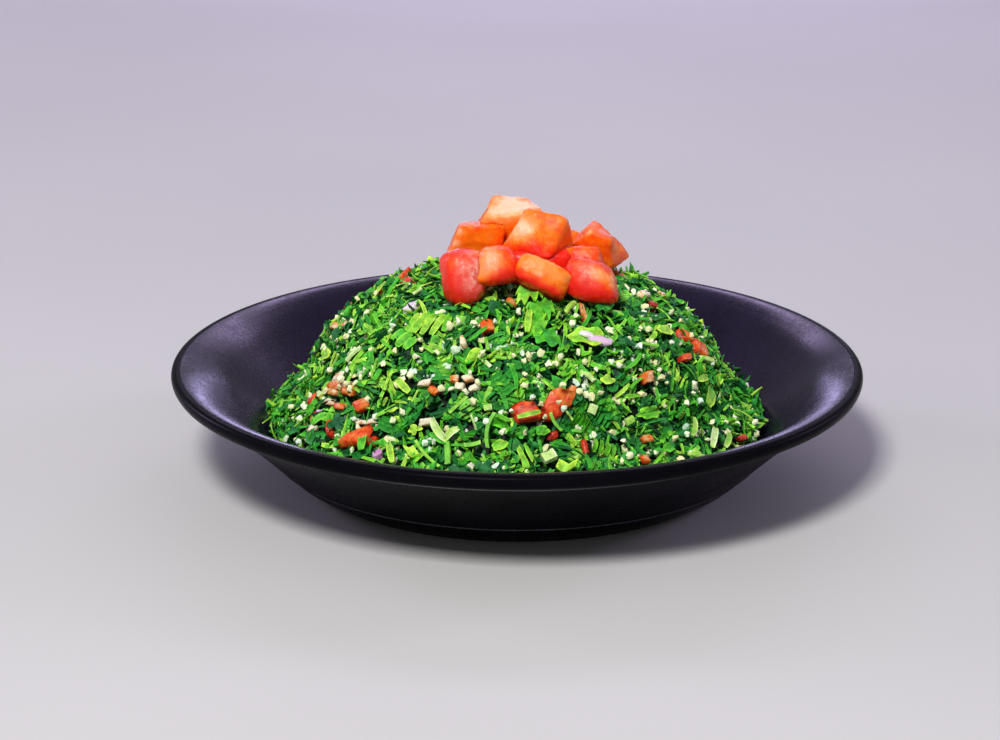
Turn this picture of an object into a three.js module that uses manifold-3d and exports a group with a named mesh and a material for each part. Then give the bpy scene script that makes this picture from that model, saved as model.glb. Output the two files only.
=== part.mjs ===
// Tabbouleh salad heaped in a black flared bowl and topped with diced tomato.
// Millimetres, +Z up. The origin is the centre of the bowl's foot, on the table; -Y is the front.
import * as THREE from "three";
import { mergeVertices } from "three/addons/utils/BufferGeometryUtils.js";
import Module from "manifold-3d";

const wasm = await Module();
wasm.setup();

// ---- Driving dimensions -------------------------------------------------------------------

const bowl = {
  rimRadius: 110,
  height: 36,
  rimWidth: 5, // from the crest of the rolled rim to its outermost line
  rimDepth: 2.4, // half the thickness of the rolled rim
  footRadius: 68,
  footWidth: 6,
  footRecess: 2.4, // how far the base is lifted inside the foot ring
  floorTop: 7.2,
  floorRadius: 62,
  turns: 48, // facets round the axis
};

const gap = 0.3; // clearance between touching pieces

// The heap's outline is a cubic dome, full at the shoulder, with a waist above its spread foot.
const heap = {
  radius: 80.5,
  footZ: 17,
  rise: 49.5,
  power: 3,
  waist: { from: 59, depth: 6.5 }, // a hollow between this distance from the axis and the foot
  coreInset: 2.2, // the solid core lies this far under the chopped pieces
  lumps: { height: 0.9, width: 82 }, // broad unevenness
  grit: { height: 0.6, width: 5.2 }, // fine unevenness
  rings: 12,
  ringSpread: 0.82, // below 1 sets the rings closer together at the foot
  turns: 48,
};

// What is mixed into the heap. Sizes are length, width and thickness.
const mix = {
  tomatoBits: { count: 12, size: [10, 7.5, 5], spread: 0.35 },
  leaves: { count: 41, radius: 5.6, thickness: 0.8, wave: 1.5, lobes: 4, spread: 0.35 },
  onionBits: { count: 7, size: [8, 2.6, 1.3], bend: 0.5, spread: 0.2 },
  shreds: { count: 98, size: [10.5, 1.9, 0.9], bend: 1.0, spread: 0.35 },
  grains: { count: 70, size: [2.9, 2.3, 2.1], spread: 0.2 },
};

// The diced tomato. Each die keeps its shape where it meets the ones after it in this list.
// at is its centre, turn is its roll, pitch and heading in degrees, and size is its length,
// width and height. round is higher for squarer dice. lean skews the top sideways, and taper
// narrows it. pull moves the corners that its signs name along the die's own axes.
const dice = [
  { name: "front_mid", at: [-7, -23, 73.4], turn: [-20, -3, 10],
    size: [14, 11, 12], round: 3.6, taper: 0.25 },
  { name: "front_left", at: [-16.4, -24, 69.9], turn: [-16, 8, 18],
    size: [14.5, 12, 17.5], round: 2.8, taper: -0.25 },
  { name: "front_slab", at: [7.6, -25, 70.4], turn: [-26, 27, -6], size: [17.5, 11, 9.5], round: 5 },
  { name: "front_right", at: [22.8, -24, 69], turn: [-14, 8, -14],
    size: [16, 12, 13], round: 3.4, lean: -0.2, taper: 0.1 },
  { name: "top_front", at: [7, -6, 78.2], turn: [-18, 13, -24], size: [20, 14, 15.5], round: 9, lean: -0.1,
    pull: [
      [[-1, -1, 1], [5.6, 1, 0]], [[-1, 1, 1], [4, 0.5, -2]], [[1, -1, -1], [-2.5, -0.5, 1.5]],
      [[1, -1, 1], [0.5, 0, 1.5]], [[1, 1, -1], [-1, 0, 8.5]], [[1, 1, 1], [-1, 0, -4]],
    ] },
  { name: "left", at: [-14.6, 1, 73.3], turn: [4, -2, 10], size: [15, 10, 13.5], round: 12, lean: 0.25,
    pull: [
      [[-1, -1, -1], [1, 1.5, 4.5]], [[-1, -1, 1], [1.5, 0.5, 2]], [[-1, 1, -1], [1.5, 0.5, 2]],
      [[-1, 1, 1], [2.5, -0.5, 0]], [[1, -1, -1], [3, 0.5, 2]], [[1, -1, 1], [1.5, 0, 1]],
      [[1, 1, 1], [-2.5, 0, -1]],
    ] },
  { name: "top", at: [-3.2, 7, 80.2], turn: [8, 10, 6],
    size: [15.5, 12, 12], round: 10, lean: 0.2, taper: 0.15,
    pull: [
      [[-1, -1, -1], [0.5, 1, 2.5]], [[-1, -1, 1], [-3.5, -0.5, -3]], [[-1, 1, -1], [2, 0, 0.5]],
      [[1, -1, 1], [2, 0.5, 1.5]], [[1, 1, 1], [-2, 0.5, 0.5]],
    ] },
  { name: "right", at: [19.5, -8, 72.8], turn: [-12, -14, -10], size: [13.5, 12, 11], round: 5,
    pull: [
      [[-1, -1, 1], [1.5, 0.5, -1.5]], [[-1, 1, 1], [3.5, 0.5, -4]], [[1, -1, 1], [2, 0.5, -4]],
      [[1, 1, 1], [-2, -0.5, -4]],
    ] },
  { name: "far_right", at: [25.5, 5, 72.8], turn: [6, 26, -14],
    size: [17, 10, 13], round: 11, lean: -0.15, taper: 0.5,
    pull: [
      [[-1, -1, -1], [3.5, 1.5, 2]], [[-1, -1, 1], [2, -0.5, -1]], [[-1, 1, -1], [3, 0, -0.5]],
      [[-1, 1, 1], [0.5, -0.5, -1]], [[1, -1, -1], [-6, 0.5, 2]], [[1, -1, 1], [1, 0, -0.5]],
      [[1, 1, -1], [-3, 2, 5]], [[1, 1, 1], [1, -1.5, -3]],
    ] },
  { name: "middle", at: [5.5, -8.5, 70], turn: [4, -2, 2], size: [25, 13, 12], round: 5 },
  { name: "back_left", at: [-11.5, 16, 71], turn: [14, 6, 158],
    size: [14.5, 12, 12], round: 4, lean: 0.1, taper: 0.1 },
  { name: "back", at: [3, 20.5, 70.5], turn: [16, -10, 176], size: [15, 12, 12], round: 3.6, lean: -0.1 },
  { name: "back_right", at: [14, 17, 68.2], turn: [10, 14, 205],
    size: [11.5, 12, 10], round: 5, taper: -0.1 },
];

const colours = {
  bowl: "#17161b",
  salad: "#2f7a22",
  tomato: "#e2401f",
};

// ---- Helpers -----------------------------------------------------------------------------

// A repeatable stream of numbers from 0 to 1.
function stream(seed) {
  let state = seed;
  return () => {
    state = (state + 0x6d2b79f5) | 0;
    let mixed = Math.imul(state ^ (state >>> 15), 1 | state);
    mixed = (mixed + Math.imul(mixed ^ (mixed >>> 7), 61 | mixed)) ^ mixed;
    return ((mixed ^ (mixed >>> 14)) >>> 0) / 4294967296;
  };
}

// A closed geometry as a solid, with shared corners merged and collapsed faces left out.
function solidOf(geometry) {
  const bare = new THREE.BufferGeometry();
  const flat = geometry.index ? geometry.toNonIndexed() : geometry;
  bare.setAttribute("position", flat.getAttribute("position"));
  const merged = mergeVertices(bare, 1e-3);
  const corners = merged.index.array;
  const kept = [];
  for (let i = 0; i < corners.length; i += 3) {
    const [a, b, c] = corners.slice(i, i + 3);
    if (a !== b && b !== c && c !== a) kept.push(a, b, c);
  }
  return new wasm.Manifold(
    new wasm.Mesh({
      numProp: 3,
      vertProperties: merged.attributes.position.array,
      triVerts: new Uint32Array(kept),
    }),
  );
}

function geometryOf(solid) {
  const mesh = solid.getMesh();
  const geometry = new THREE.BufferGeometry();
  geometry.setAttribute("position", new THREE.BufferAttribute(new Float32Array(mesh.vertProperties), 3));
  geometry.setIndex(new THREE.BufferAttribute(new Uint32Array(mesh.triVerts), 1));
  return geometry;
}

function larger(one, other) {
  return one.volume() > other.volume() ? one : other;
}

// Turns a profile in the radius and height plane about the upright axis.
function turned(points, turns) {
  return new THREE.LatheGeometry(points, turns).rotateX(Math.PI / 2);
}

// Moves every corner of a geometry by a rule that depends only on where the corner is.
function reshape(geometry, rule) {
  const place = geometry.getAttribute("position");
  const corner = new THREE.Vector3();
  for (let i = 0; i < place.count; i++) {
    corner.fromBufferAttribute(place, i);
    rule(corner);
    place.setXYZ(i, corner.x, corner.y, corner.z);
  }
  return geometry;
}

// ---- Bowl --------------------------------------------------------------------------------

const rimCentre = new THREE.Vector2(bowl.rimRadius - bowl.rimWidth, bowl.height - bowl.rimDepth);

// The outside of the wall: rounded up from the foot, then flared to the rim.
const outerWall = new THREE.SplineCurve([
  new THREE.Vector2(bowl.footRadius + 0.6, 0.5),
  new THREE.Vector2(bowl.footRadius + 6.6, 4),
  new THREE.Vector2(bowl.footRadius + 13.9, 11),
  new THREE.Vector2(rimCentre.x - 14.6, 19),
  new THREE.Vector2(rimCentre.x + 0.7, 31),
]).getPoints(4);

// The inside of the wall, from the rim down to the floor.
const innerWall = new THREE.SplineCurve([
  new THREE.Vector2(rimCentre.x - 2.8, bowl.height - 1.2),
  new THREE.Vector2(rimCentre.x - 15, bowl.height - 11.8),
  new THREE.Vector2(bowl.floorRadius + 16.6, bowl.floorTop + 6.8),
  new THREE.Vector2(bowl.floorRadius + 11, bowl.floorTop + 2.4),
  new THREE.Vector2(bowl.floorRadius, bowl.floorTop),
]).getPoints(5);

// How high the inside of the bowl is at a distance from the axis.
function insideHeight(radius) {
  const outside = innerWall.findLastIndex((p) => p.x >= radius);
  if (outside < 0) return bowl.height;
  if (outside === innerWall.length - 1) return bowl.floorTop;
  const [far, near] = innerWall.slice(outside, outside + 2);
  return THREE.MathUtils.mapLinear(radius, near.x, far.x, near.y, far.y);
}

function bowlSolid() {
  const footInner = bowl.footRadius - bowl.footWidth;
  const foot = [
    new THREE.Vector2(0, bowl.footRecess),
    new THREE.Vector2(footInner - 1.5, bowl.footRecess),
    new THREE.Vector2(footInner, 0),
    new THREE.Vector2(bowl.footRadius, 0),
  ];
  const rim = new THREE.EllipseCurve(
    rimCentre.x, rimCentre.y, bowl.rimWidth, bowl.rimDepth, -Math.PI * 0.28, Math.PI * 0.58,
  );
  const profile = [...foot, ...outerWall, ...rim.getPoints(4), ...innerWall];
  return solidOf(turned([...profile, new THREE.Vector2(0, bowl.floorTop)], bowl.turns));
}

// ---- Heap --------------------------------------------------------------------------------

// The height of the heap's outline, inset by a depth, at a distance from the axis.
function heapHeight(radius, inset = 0) {
  const share = Math.min(1, radius / (heap.radius - inset));
  const { from, depth } = heap.waist;
  const pastWaist = Math.max(0, (share * heap.radius - from) / (heap.radius - from));
  const hollow = depth * Math.sin(Math.PI * pastWaist) ** 2;
  return heap.footZ + (heap.rise - inset) * (1 - share ** heap.power) - hollow;
}

// How steeply the heap's outline falls at a distance from the axis.
function heapSlope(radius) {
  const step = 0.5;
  return (heapHeight(radius - step) - heapHeight(radius + step)) / (2 * step);
}

// Distances from the axis that part the heap's surface into equal areas, from crown to foot.
function equalAreaRadii(count) {
  const steps = 400;
  const radii = Array.from({ length: steps }, (_, i) => (heap.radius * (i + 0.5)) / steps);
  let reached = 0;
  const areaWithin = radii.map((radius) => (reached += radius * Math.hypot(1, heapSlope(radius))));
  return Array.from({ length: count }, (_, i) => {
    const wanted = (reached * (i + 0.5)) / count;
    return radii[areaWithin.findIndex((area) => area >= wanted)];
  });
}

// A place on the core's bumpy surface, and the way that the surface faces there.
function corePlace(radius, heading) {
  const outward = new THREE.Vector3(Math.cos(heading), Math.sin(heading), 0);
  const place = outward.clone().multiplyScalar(radius).setZ(heapHeight(radius, heap.coreInset));
  const normal = outward.clone().multiplyScalar(heapSlope(radius)).setZ(1).normalize();
  return { place: place.addScaledVector(normal, unevenness(place)), normal };
}

// Waves of one width that cross each other, worked out from a place alone.
function ripple(p, { height, width }) {
  const turn = (2 * Math.PI) / width;
  const across = Math.cos(turn * p.x - 0.5) * Math.cos(0.85 * turn * p.y + 0.4);
  return height * (0.6 * across + 0.4 * Math.sin(turn * (1.3 * p.z + 1.9 * p.y + 1.2 * p.x)));
}

function unevenness(p) {
  return ripple(p, heap.lumps) + ripple(p, heap.grit);
}

// The bare heap under its chopped pieces. Its underside follows the bowl with a clearance.
function heapCore() {
  const edge = heap.radius - heap.coreInset;
  const brim = 0.5; // how far the underside stops short of the edge
  const lift = gap * Math.SQRT2; // keeps the clearance where the wall slopes at 45 degrees
  const underRadii = innerWall.map((p) => p.x).filter((radius) => radius < edge - 2 * brim);
  const underPoint = (radius) => new THREE.Vector2(radius, insideHeight(radius) + lift);
  const under = [...underRadii.reverse(), edge - brim].map(underPoint);
  const dome = [];
  for (let i = 0; i <= heap.rings; i++) {
    const radius = edge * (1 - i / heap.rings) ** heap.ringSpread;
    dome.push(new THREE.Vector2(radius, heapHeight(radius, heap.coreInset)));
  }
  const profile = [new THREE.Vector2(0, bowl.floorTop + lift), ...under, ...dome];
  const solid = turned(profile, heap.turns);
  return solidOf(
    reshape(solid, (p) => {
      const radius = Math.hypot(p.x, p.y);
      const onTop = p.z > heapHeight(radius, heap.coreInset) - gap;
      if (onTop && radius < edge - brim) p.copy(corePlace(radius, Math.atan2(p.y, p.x)).place);
    }),
  );
}

// ---- Chopped pieces ----------------------------------------------------------------------

// A strip bent along its length and twisted a little, as a cut shred or a slice of onion.
function strip([length, width, thickness], bend, twist) {
  const geometry = new THREE.BoxGeometry(length, width, thickness, 2, 1, 1);
  return reshape(geometry, (p) => {
    const along = p.x / length;
    const angle = twist * along;
    const [y, z] = [p.y, p.z];
    p.y = y * Math.cos(angle) - z * Math.sin(angle);
    p.z = y * Math.sin(angle) + z * Math.cos(angle) - bend * (4 * along * along - 0.5);
  });
}

// A lobed scrap of leaf. Its two faces are the same wavy fan of triangles.
function leafScrap({ radius, thickness, wave, lobes }, stretch, phase) {
  const rim = 2 * lobes;
  const corners = [];
  for (const side of [thickness / 2, -thickness / 2]) {
    corners.push([0, 0, side]);
    for (let i = 0; i < rim; i++) {
      const angle = (i / rim) * Math.PI * 2;
      const reach = radius * (i % 2 ? 0.62 : 1) * (1 + 0.15 * Math.sin(3 * angle + phase));
      const height = wave * (Math.sin(2 * angle + phase) * 0.6 + (i % 2 ? 0.35 : -0.35));
      corners.push([reach * stretch * Math.cos(angle), reach * Math.sin(angle), side + height]);
    }
  }
  const faces = [];
  const bottom = rim + 1;
  for (let i = 0; i < rim; i++) {
    const here = 1 + i;
    const next = 1 + ((i + 1) % rim);
    faces.push(0, here, next, bottom, bottom + next, bottom + here);
    faces.push(here, bottom + here, bottom + next, here, bottom + next, next);
  }
  const geometry = new THREE.BufferGeometry();
  geometry.setAttribute("position", new THREE.Float32BufferAttribute(corners.flat(), 3));
  geometry.setIndex(faces);
  return geometry;
}

function grain([length, width, height]) {
  return new THREE.IcosahedronGeometry(0.5, 0).scale(length, width, height);
}

function tomatoBit([length, width, height]) {
  const geometry = new THREE.BoxGeometry(length, width, height);
  return reshape(geometry, (p) => {
    p.x *= p.y > 0 ? 0.82 : 1;
    p.y *= p.z > 0 ? 0.86 : 1;
  });
}

// Lays a piece on the heap, flat to its surface but for a tilt, lifted along the normal.
function lay(geometry, { place, normal }, heading, tilt, lift) {
  const upright = new THREE.Quaternion().setFromUnitVectors(new THREE.Vector3(0, 0, 1), normal);
  const turn = new THREE.Quaternion().setFromEuler(new THREE.Euler(tilt[0], tilt[1], heading, "ZYX"));
  geometry.applyQuaternion(upright.multiply(turn));
  return geometry.translate(...place.clone().addScaledVector(normal, lift).toArray());
}

// True where every corner is above the bowl's inside and clear of its wall.
function clearOfBowl(geometry) {
  const place = geometry.getAttribute("position");
  for (let i = 0; i < place.count; i++) {
    const floor = insideHeight(Math.hypot(place.getX(i), place.getY(i)));
    if (place.getZ(i) < floor + gap * 1.6) return false;
  }
  return true;
}

// Spreads one kind of piece over the heap by the golden angle, skipping what would cross.
function scatter(kind, make, { lift, tilt, seed, offset }, blocked) {
  const draw = stream(seed);
  const goldenAngle = Math.PI * (3 - Math.sqrt(5));
  const made = [];
  equalAreaRadii(kind.count).forEach((radius, i) => {
    const spot = corePlace(Math.min(radius, heap.radius - heap.coreInset - 1), i * goldenAngle + offset);
    const size = 1 + kind.spread * (2 * draw() - 1);
    const heading = Math.PI * 2 * draw();
    const lean = [tilt * (2 * draw() - 1), tilt * (2 * draw() - 1)];
    const geometry = lay(make(size, draw), spot, heading, lean, lift);
    if (!clearOfBowl(geometry)) return;
    const solid = solidOf(geometry);
    if (solid.intersect(blocked).volume() === 0) made.push(solid);
  });
  return made;
}

function choppedPieces(blocked) {
  const { tomatoBits, leaves, onionBits, shreds, grains } = mix;
  const scaled = (size, by) => size.map((side) => side * by);
  const uneven = ([length, ...rest], by) => [length * by, ...rest];
  return [
    ...scatter(
      tomatoBits,
      (size) => tomatoBit(scaled(tomatoBits.size, size)),
      { lift: 1.2, tilt: 0.5, seed: 11, offset: 4.1 },
      blocked,
    ),
    ...scatter(
      leaves,
      (size, draw) => leafScrap({ ...leaves, radius: leaves.radius * size }, 0.8 + 0.5 * draw(), 6 * draw()),
      { lift: 0.9, tilt: 0.45, seed: 23, offset: 0.4 },
      blocked,
    ),
    ...scatter(
      onionBits,
      (size) => strip(scaled(onionBits.size, size), onionBits.bend, 0.2),
      { lift: 1.1, tilt: 0.3, seed: 31, offset: 5.2 },
      blocked,
    ),
    ...scatter(
      shreds,
      (size, draw) => strip(uneven(shreds.size, size), shreds.bend * draw(), 1.6 * (draw() - 0.5)),
      { lift: 0.75, tilt: 0.35, seed: 47, offset: 1.7 },
      blocked,
    ),
    ...scatter(
      grains,
      (size) => grain(scaled(grains.size, size)),
      { lift: 0.5, tilt: 0.8, seed: 59, offset: 2.9 },
      blocked,
    ),
  ];
}

// The heap as one solid: the pieces joined to the core, without loose scraps or sealed hollows.
function heapSolid(core, blocked) {
  const joined = wasm.Manifold.union([core, ...choppedPieces(blocked)]);
  return joined.decompose().reduce(larger);
}

// ---- Diced tomato ------------------------------------------------------------------------

// A cut cube of tomato: flat cut sides with soft edges, and skin that bulges on its front.
function tomatoDie({ at, turn, size, round, lean = 0, taper = 0, pull = [] }, growth) {
  const [length, width, height] = size.map((side) => side + 2 * growth);
  const geometry = new THREE.BoxGeometry(2, 2, 2, 3, 2, 2);
  reshape(geometry, (p) => {
    const sides = p.toArray().map(Math.abs);
    const reach = sides.reduce((sum, side) => sum + side ** round, 0) ** (1 / round);
    p.multiplyScalar(Math.max(...sides) / reach);
    const unit = p.clone();
    if (p.y < 0) p.y *= 1 + 0.2 * (1 - 0.6 * p.x * p.x) * (1 - 0.5 * p.z * p.z);
    p.x = p.x * (1 - taper * p.z) + lean * p.z;
    p.set((p.x * length) / 2, (p.y * width) / 2, (p.z * height) / 2);
    for (const [[x, y, z], move] of pull) {
      const share = ((1 + x * unit.x) * (1 + y * unit.y) * (1 + z * unit.z)) / 8;
      p.addScaledVector(new THREE.Vector3(...move), share);
    }
  });
  const angles = turn.map(THREE.MathUtils.degToRad);
  geometry.applyMatrix4(new THREE.Matrix4().makeRotationFromEuler(new THREE.Euler(...angles, "ZYX")));
  return solidOf(geometry.translate(...at));
}

// The dice, each cut away where it would press into the heap or into a die before it.
function diceSolids(core) {
  let taken = core.translate(0, 0, gap);
  const made = [];
  for (const die of dice) {
    const pieces = tomatoDie(die, 0).subtract(taken).decompose();
    made.push({ name: `tomato_dice_${die.name}`, solid: pieces.reduce(larger) });
    taken = taken.add(tomatoDie(die, gap));
  }
  return made;
}

// ---- The part ----------------------------------------------------------------------------

const materials = {
  bowl: new THREE.MeshStandardMaterial({ color: colours.bowl, roughness: 0.38, metalness: 0 }),
  salad: new THREE.MeshStandardMaterial({ color: colours.salad, roughness: 0.55, metalness: 0 }),
  tomato: new THREE.MeshStandardMaterial({ color: colours.tomato, roughness: 0.25, metalness: 0 }),
};

function named(name, solid, material) {
  const mesh = new THREE.Mesh(geometryOf(solid), material);
  mesh.name = name;
  return mesh;
}

const core = heapCore();
const toppings = diceSolids(core);
const keepOut = wasm.Manifold.union(dice.map((die) => tomatoDie(die, gap)));

const part = new THREE.Group();
part.add(named("bowl", bowlSolid(), materials.bowl));
part.add(named("salad", heapSolid(core, keepOut), materials.salad));
for (const { name, solid } of toppings) part.add(named(name, solid, materials.tomato));

export default part;
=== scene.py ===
import math

import bmesh
import bpy
import numpy as np
from mathutils import Euler, Matrix, Vector, noise


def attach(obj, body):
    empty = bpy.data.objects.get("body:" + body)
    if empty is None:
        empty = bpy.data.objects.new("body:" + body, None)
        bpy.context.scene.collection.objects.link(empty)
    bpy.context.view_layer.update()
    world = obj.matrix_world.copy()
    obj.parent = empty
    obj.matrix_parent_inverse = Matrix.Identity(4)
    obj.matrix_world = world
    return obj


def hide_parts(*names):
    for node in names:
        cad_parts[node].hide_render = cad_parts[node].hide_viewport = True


# Tabbouleh heaped in a black bowl and topped with diced tomato.
# Metres, +Z up, the front is -Y. Sizes in the settings are millimetres unless a note says more.
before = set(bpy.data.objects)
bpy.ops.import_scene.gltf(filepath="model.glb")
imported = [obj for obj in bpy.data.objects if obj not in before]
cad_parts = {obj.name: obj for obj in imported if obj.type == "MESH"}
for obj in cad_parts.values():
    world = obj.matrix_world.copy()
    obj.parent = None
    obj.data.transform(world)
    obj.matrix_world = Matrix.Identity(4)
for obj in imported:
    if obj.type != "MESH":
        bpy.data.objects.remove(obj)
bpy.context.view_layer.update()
mm = 0.001
scene = bpy.context.scene
scene.view_settings.view_transform = "Standard"
noise.seed_set(4)  # left alone, noise_vector differs from run to run


def linkObject(name, mesh, material=None, collection=None):
    piece = bpy.data.objects.new(name, mesh)
    (collection or scene.collection).objects.link(piece)
    if material:
        mesh.materials.clear()
        mesh.materials.append(material)
    return piece


def meshFrom(name, corners, faces):
    mesh = bpy.data.meshes.new(name)
    mesh.from_pydata([tuple(c) for c in corners], [], [tuple(f) for f in faces])
    mesh.update()
    return mesh


def meshFromWork(name, work):
    mesh = bpy.data.meshes.new(name)
    work.to_mesh(mesh)
    work.free()
    return mesh


def evaluatedMesh(piece):
    graph = bpy.context.evaluated_depsgraph_get()
    graph.update()
    return bpy.data.meshes.new_from_object(piece.evaluated_get(graph))


def faceOutwards(mesh):
    work = bmesh.new()
    work.from_mesh(mesh)
    bmesh.ops.recalc_face_normals(work, faces=work.faces)
    work.to_mesh(mesh)
    work.free()


def cornersOf(mesh):
    flat = np.empty(len(mesh.vertices) * 3)
    mesh.vertices.foreach_get("co", flat)
    return flat.reshape(-1, 3)


def moveCorners(mesh, corners):
    mesh.vertices.foreach_set("co", corners.ravel())
    mesh.update()


def facesOf(mesh):
    return [tuple(face.vertices) for face in mesh.polygons]


def storeValues(mesh, name, values):
    mesh.attributes.new(name, "FLOAT", "POINT").data.foreach_set("value", values)


def smoothShade(mesh, sharpAngle):
    mesh.shade_smooth()
    mesh.set_sharp_from_angle(angle=math.radians(sharpAngle))


def turnMatrix(degrees):
    return Euler([math.radians(a) for a in degrees], "XYZ").to_matrix()


def dress(piece, node):
    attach(piece, "root")
    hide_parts(node)
    print("made", piece.name, len(piece.data.polygons), "faces")


def connect(tree, node, inputs):
    for key, value in inputs.items():
        if isinstance(value, bpy.types.NodeSocket):
            tree.links.new(value, node.inputs[key])
        else:
            node.inputs[key].default_value = value


# adds a node, links or fills its inputs by name or number, and gives back one of its outputs
def step(tree, kind, inputs, output=0, **values):
    node = tree.nodes.new(kind)
    for key, value in values.items():
        setattr(node, key, value)
    connect(tree, node, inputs)
    return node.outputs[output]


def maths(tree, operation, *values):
    return step(tree, "ShaderNodeMath", dict(enumerate(values)), operation=operation)


def newMaterial(name):
    material = bpy.data.materials.new(name)
    material.use_nodes = True
    return material, material.node_tree


def setSurface(material, inputs):
    connect(material.node_tree, material.node_tree.nodes["Principled BSDF"], inputs)
    return material


def clouds(tree, scale, detail=2.0, roughness=0.5):
    place = step(tree, "ShaderNodeTexCoord", {}, "Object")
    inputs = {"Vector": place, "Scale": scale, "Detail": detail, "Roughness": roughness}
    return step(tree, "ShaderNodeTexNoise", inputs, "Fac")


# a stop is its place and its colour or grey
def ramp(tree, source, stops):
    colours = step(tree, "ShaderNodeValToRGB", {"Fac": source})
    elements = colours.node.color_ramp.elements
    for i, (at, colour) in enumerate(stops):
        stop = elements[i] if i < 2 else elements.new(at)
        stop.position = at
        stop.color = (*colour, 1) if isinstance(colour, tuple) else (colour, colour, colour, 1)
    return colours


def mixColour(tree, blend, amount, first, second):
    inputs = {0: amount, 6: first, 7: second}
    return step(tree, "ShaderNodeMix", inputs, 2, data_type="RGBA", blend_type=blend)


def bump(tree, height, strength, distance):
    return step(tree, "ShaderNodeBump", {"Strength": strength, "Distance": distance, "Height": height})


def attribute(tree, name):
    return step(tree, "ShaderNodeAttribute", {}, "Fac", attribute_name=name)


# black satin glaze, made in lit and shaded copies: nearly black outside as painted shade, and violet and
# cloudy inside where it catches the light, as painted light and painted sheen
def bowlGlaze(name, darkest, lightest, gloss, level):
    material, tree = newMaterial(name)
    mist, mottle = clouds(tree, 45, 7, 0.66), clouds(tree, 1100, 3, 0.6)
    patches = mixColour(tree, "MIX", 0.4, mist, mottle)
    return setSurface(material, {
        "Base Color": ramp(tree, mist, [(0.3, darkest), (0.75, lightest)]),
        "Roughness": ramp(tree, patches, [(0.4, gloss[0]), (0.6, gloss[1])]),
        "Normal": bump(tree, mottle, 0.35, 0.0001),
        "Specular IOR Level": level,
        "Specular Tint": (0.8, 0.62, 1.0, 1),
    })


# chopped leaf: each cut piece takes its green from its own tint, and is lighter along its cut edge, partly as
# a pale cut edge and partly as a painted edge highlight
def leafGreen(name, stops, roughness, dapple, edgeGain):
    material, tree = newMaterial(name)
    tint = ramp(tree, attribute(tree, "tint"), stops)
    dapples = ramp(tree, clouds(tree, 480, 2, 0.6), [(0.35, dapple), (0.65, 1.1)])
    # lighter along the edge: partly the pale cut edge, partly a painted edge highlight
    edge = ramp(tree, attribute(tree, "rim"), [(0.55, 1), (1.0, edgeGain)])
    dappled = mixColour(tree, "MULTIPLY", 1.0, tint, dapples)
    return setSurface(material, {
        "Base Color": mixColour(tree, "MULTIPLY", 1.0, dappled, edge),
        "Roughness": roughness,
        "Normal": bump(tree, clouds(tree, 900, 3, 0.6), 0.8, 0.0005),
        "Specular IOR Level": 0.22,
    })


def bulgurCream():
    material, tree = newMaterial("bulgur")
    cream = [
        (0.0, (0.86, 0.84, 0.42)), (0.3, (0.88, 0.94, 0.54)), (0.7, (0.92, 0.97, 0.66)),
        (1.0, (0.68, 0.93, 0.7)),
    ]
    return setSurface(material, {
        "Base Color": ramp(tree, attribute(tree, "tint"), cream),
        "Roughness": 0.42,
        "Normal": bump(tree, clouds(tree, 900), 0.3, 0.0002),
        "Subsurface Weight": 0.25, "Subsurface Radius": (1.0, 0.8, 0.4), "Subsurface Scale": 0.0012,
    })


# wet tomato: pale runs from skin red through orange flesh to the pink-white of the core, with a pink-white
# painted wet sheen mixed in
def tomatoFlesh(name, stops, streakScale=300, streakSwing=0.7):
    material, tree = newMaterial(name)
    level = maths(tree, "SUBTRACT", attribute(tree, "pale"), streakSwing / 2)
    streaked = maths(tree, "MULTIPLY_ADD", clouds(tree, streakScale, 5, 0.6), streakSwing, level)
    fibres = clouds(tree, 620, 5, 0.7)
    # a pink-white painted wet sheen, broken up by the fibres
    mist = maths(tree, "MULTIPLY", attribute(tree, "bloom"), ramp(tree, fibres, [(0.44, 0.25), (0.6, 1)]))
    return setSurface(material, {
        "Base Color": mixColour(tree, "MIX", mist, ramp(tree, streaked, stops), (0.93, 0.42, 0.34, 1)),
        "Roughness": ramp(tree, fibres, [(0.42, 0.42), (0.56, 0.1)]),
        "Normal": bump(tree, fibres, 0.5, 0.0006),
        "Subsurface Weight": 0.5, "Subsurface Radius": (1.0, 0.3, 0.12), "Subsurface Scale": 0.003,
        "Specular IOR Level": 0.32,
    })


def onionLilac():
    material, tree = newMaterial("onion")
    lilac = [(0.0, (0.55, 0.24, 0.5)), (0.5, (0.72, 0.5, 0.7)), (1.0, (0.85, 0.8, 0.82))]
    return setSurface(material, {
        "Base Color": ramp(tree, attribute(tree, "tint"), lilac),
        "Roughness": 0.3,
        "Normal": bump(tree, clouds(tree, 600), 0.2, 0.0002),
    })


def paleFloor():
    material, tree = newMaterial("paleFloor")
    shade = ramp(tree, clouds(tree, 3), [(0.3, (0.5, 0.495, 0.49)), (0.7, (0.54, 0.535, 0.53))])
    return setSurface(material, {"Base Color": shade, "Roughness": 0.75})


def newGeometryTree(name, inputs):
    tree = bpy.data.node_groups.new(name, "GeometryNodeTree")
    for label, kind in {"Geometry": "Geometry", **inputs}.items():
        tree.interface.new_socket(label, in_out="INPUT", socket_type="NodeSocket" + kind)
    tree.interface.new_socket("Geometry", in_out="OUTPUT", socket_type="NodeSocketGeometry")
    return tree, tree.nodes.new("NodeGroupInput").outputs


def finishTree(tree, geometry, material):
    dressed = step(tree, "GeometryNodeSetMaterial", {"Geometry": geometry, "Material": material})
    tree.links.new(dressed, tree.nodes.new("NodeGroupOutput").inputs[0])
    return tree


# runs a tree on a piece and gives back a plain mesh
def runTree(host, tree, values):
    modifier = host.modifiers.new(tree.name, "NODES")
    modifier.node_group = tree
    for item in tree.interface.items_tree:
        if item.in_out == "INPUT" and item.name in values:
            modifier[item.identifier] = values[item.name]
    mesh = evaluatedMesh(host)
    host.modifiers.remove(modifier)
    return mesh


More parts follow.
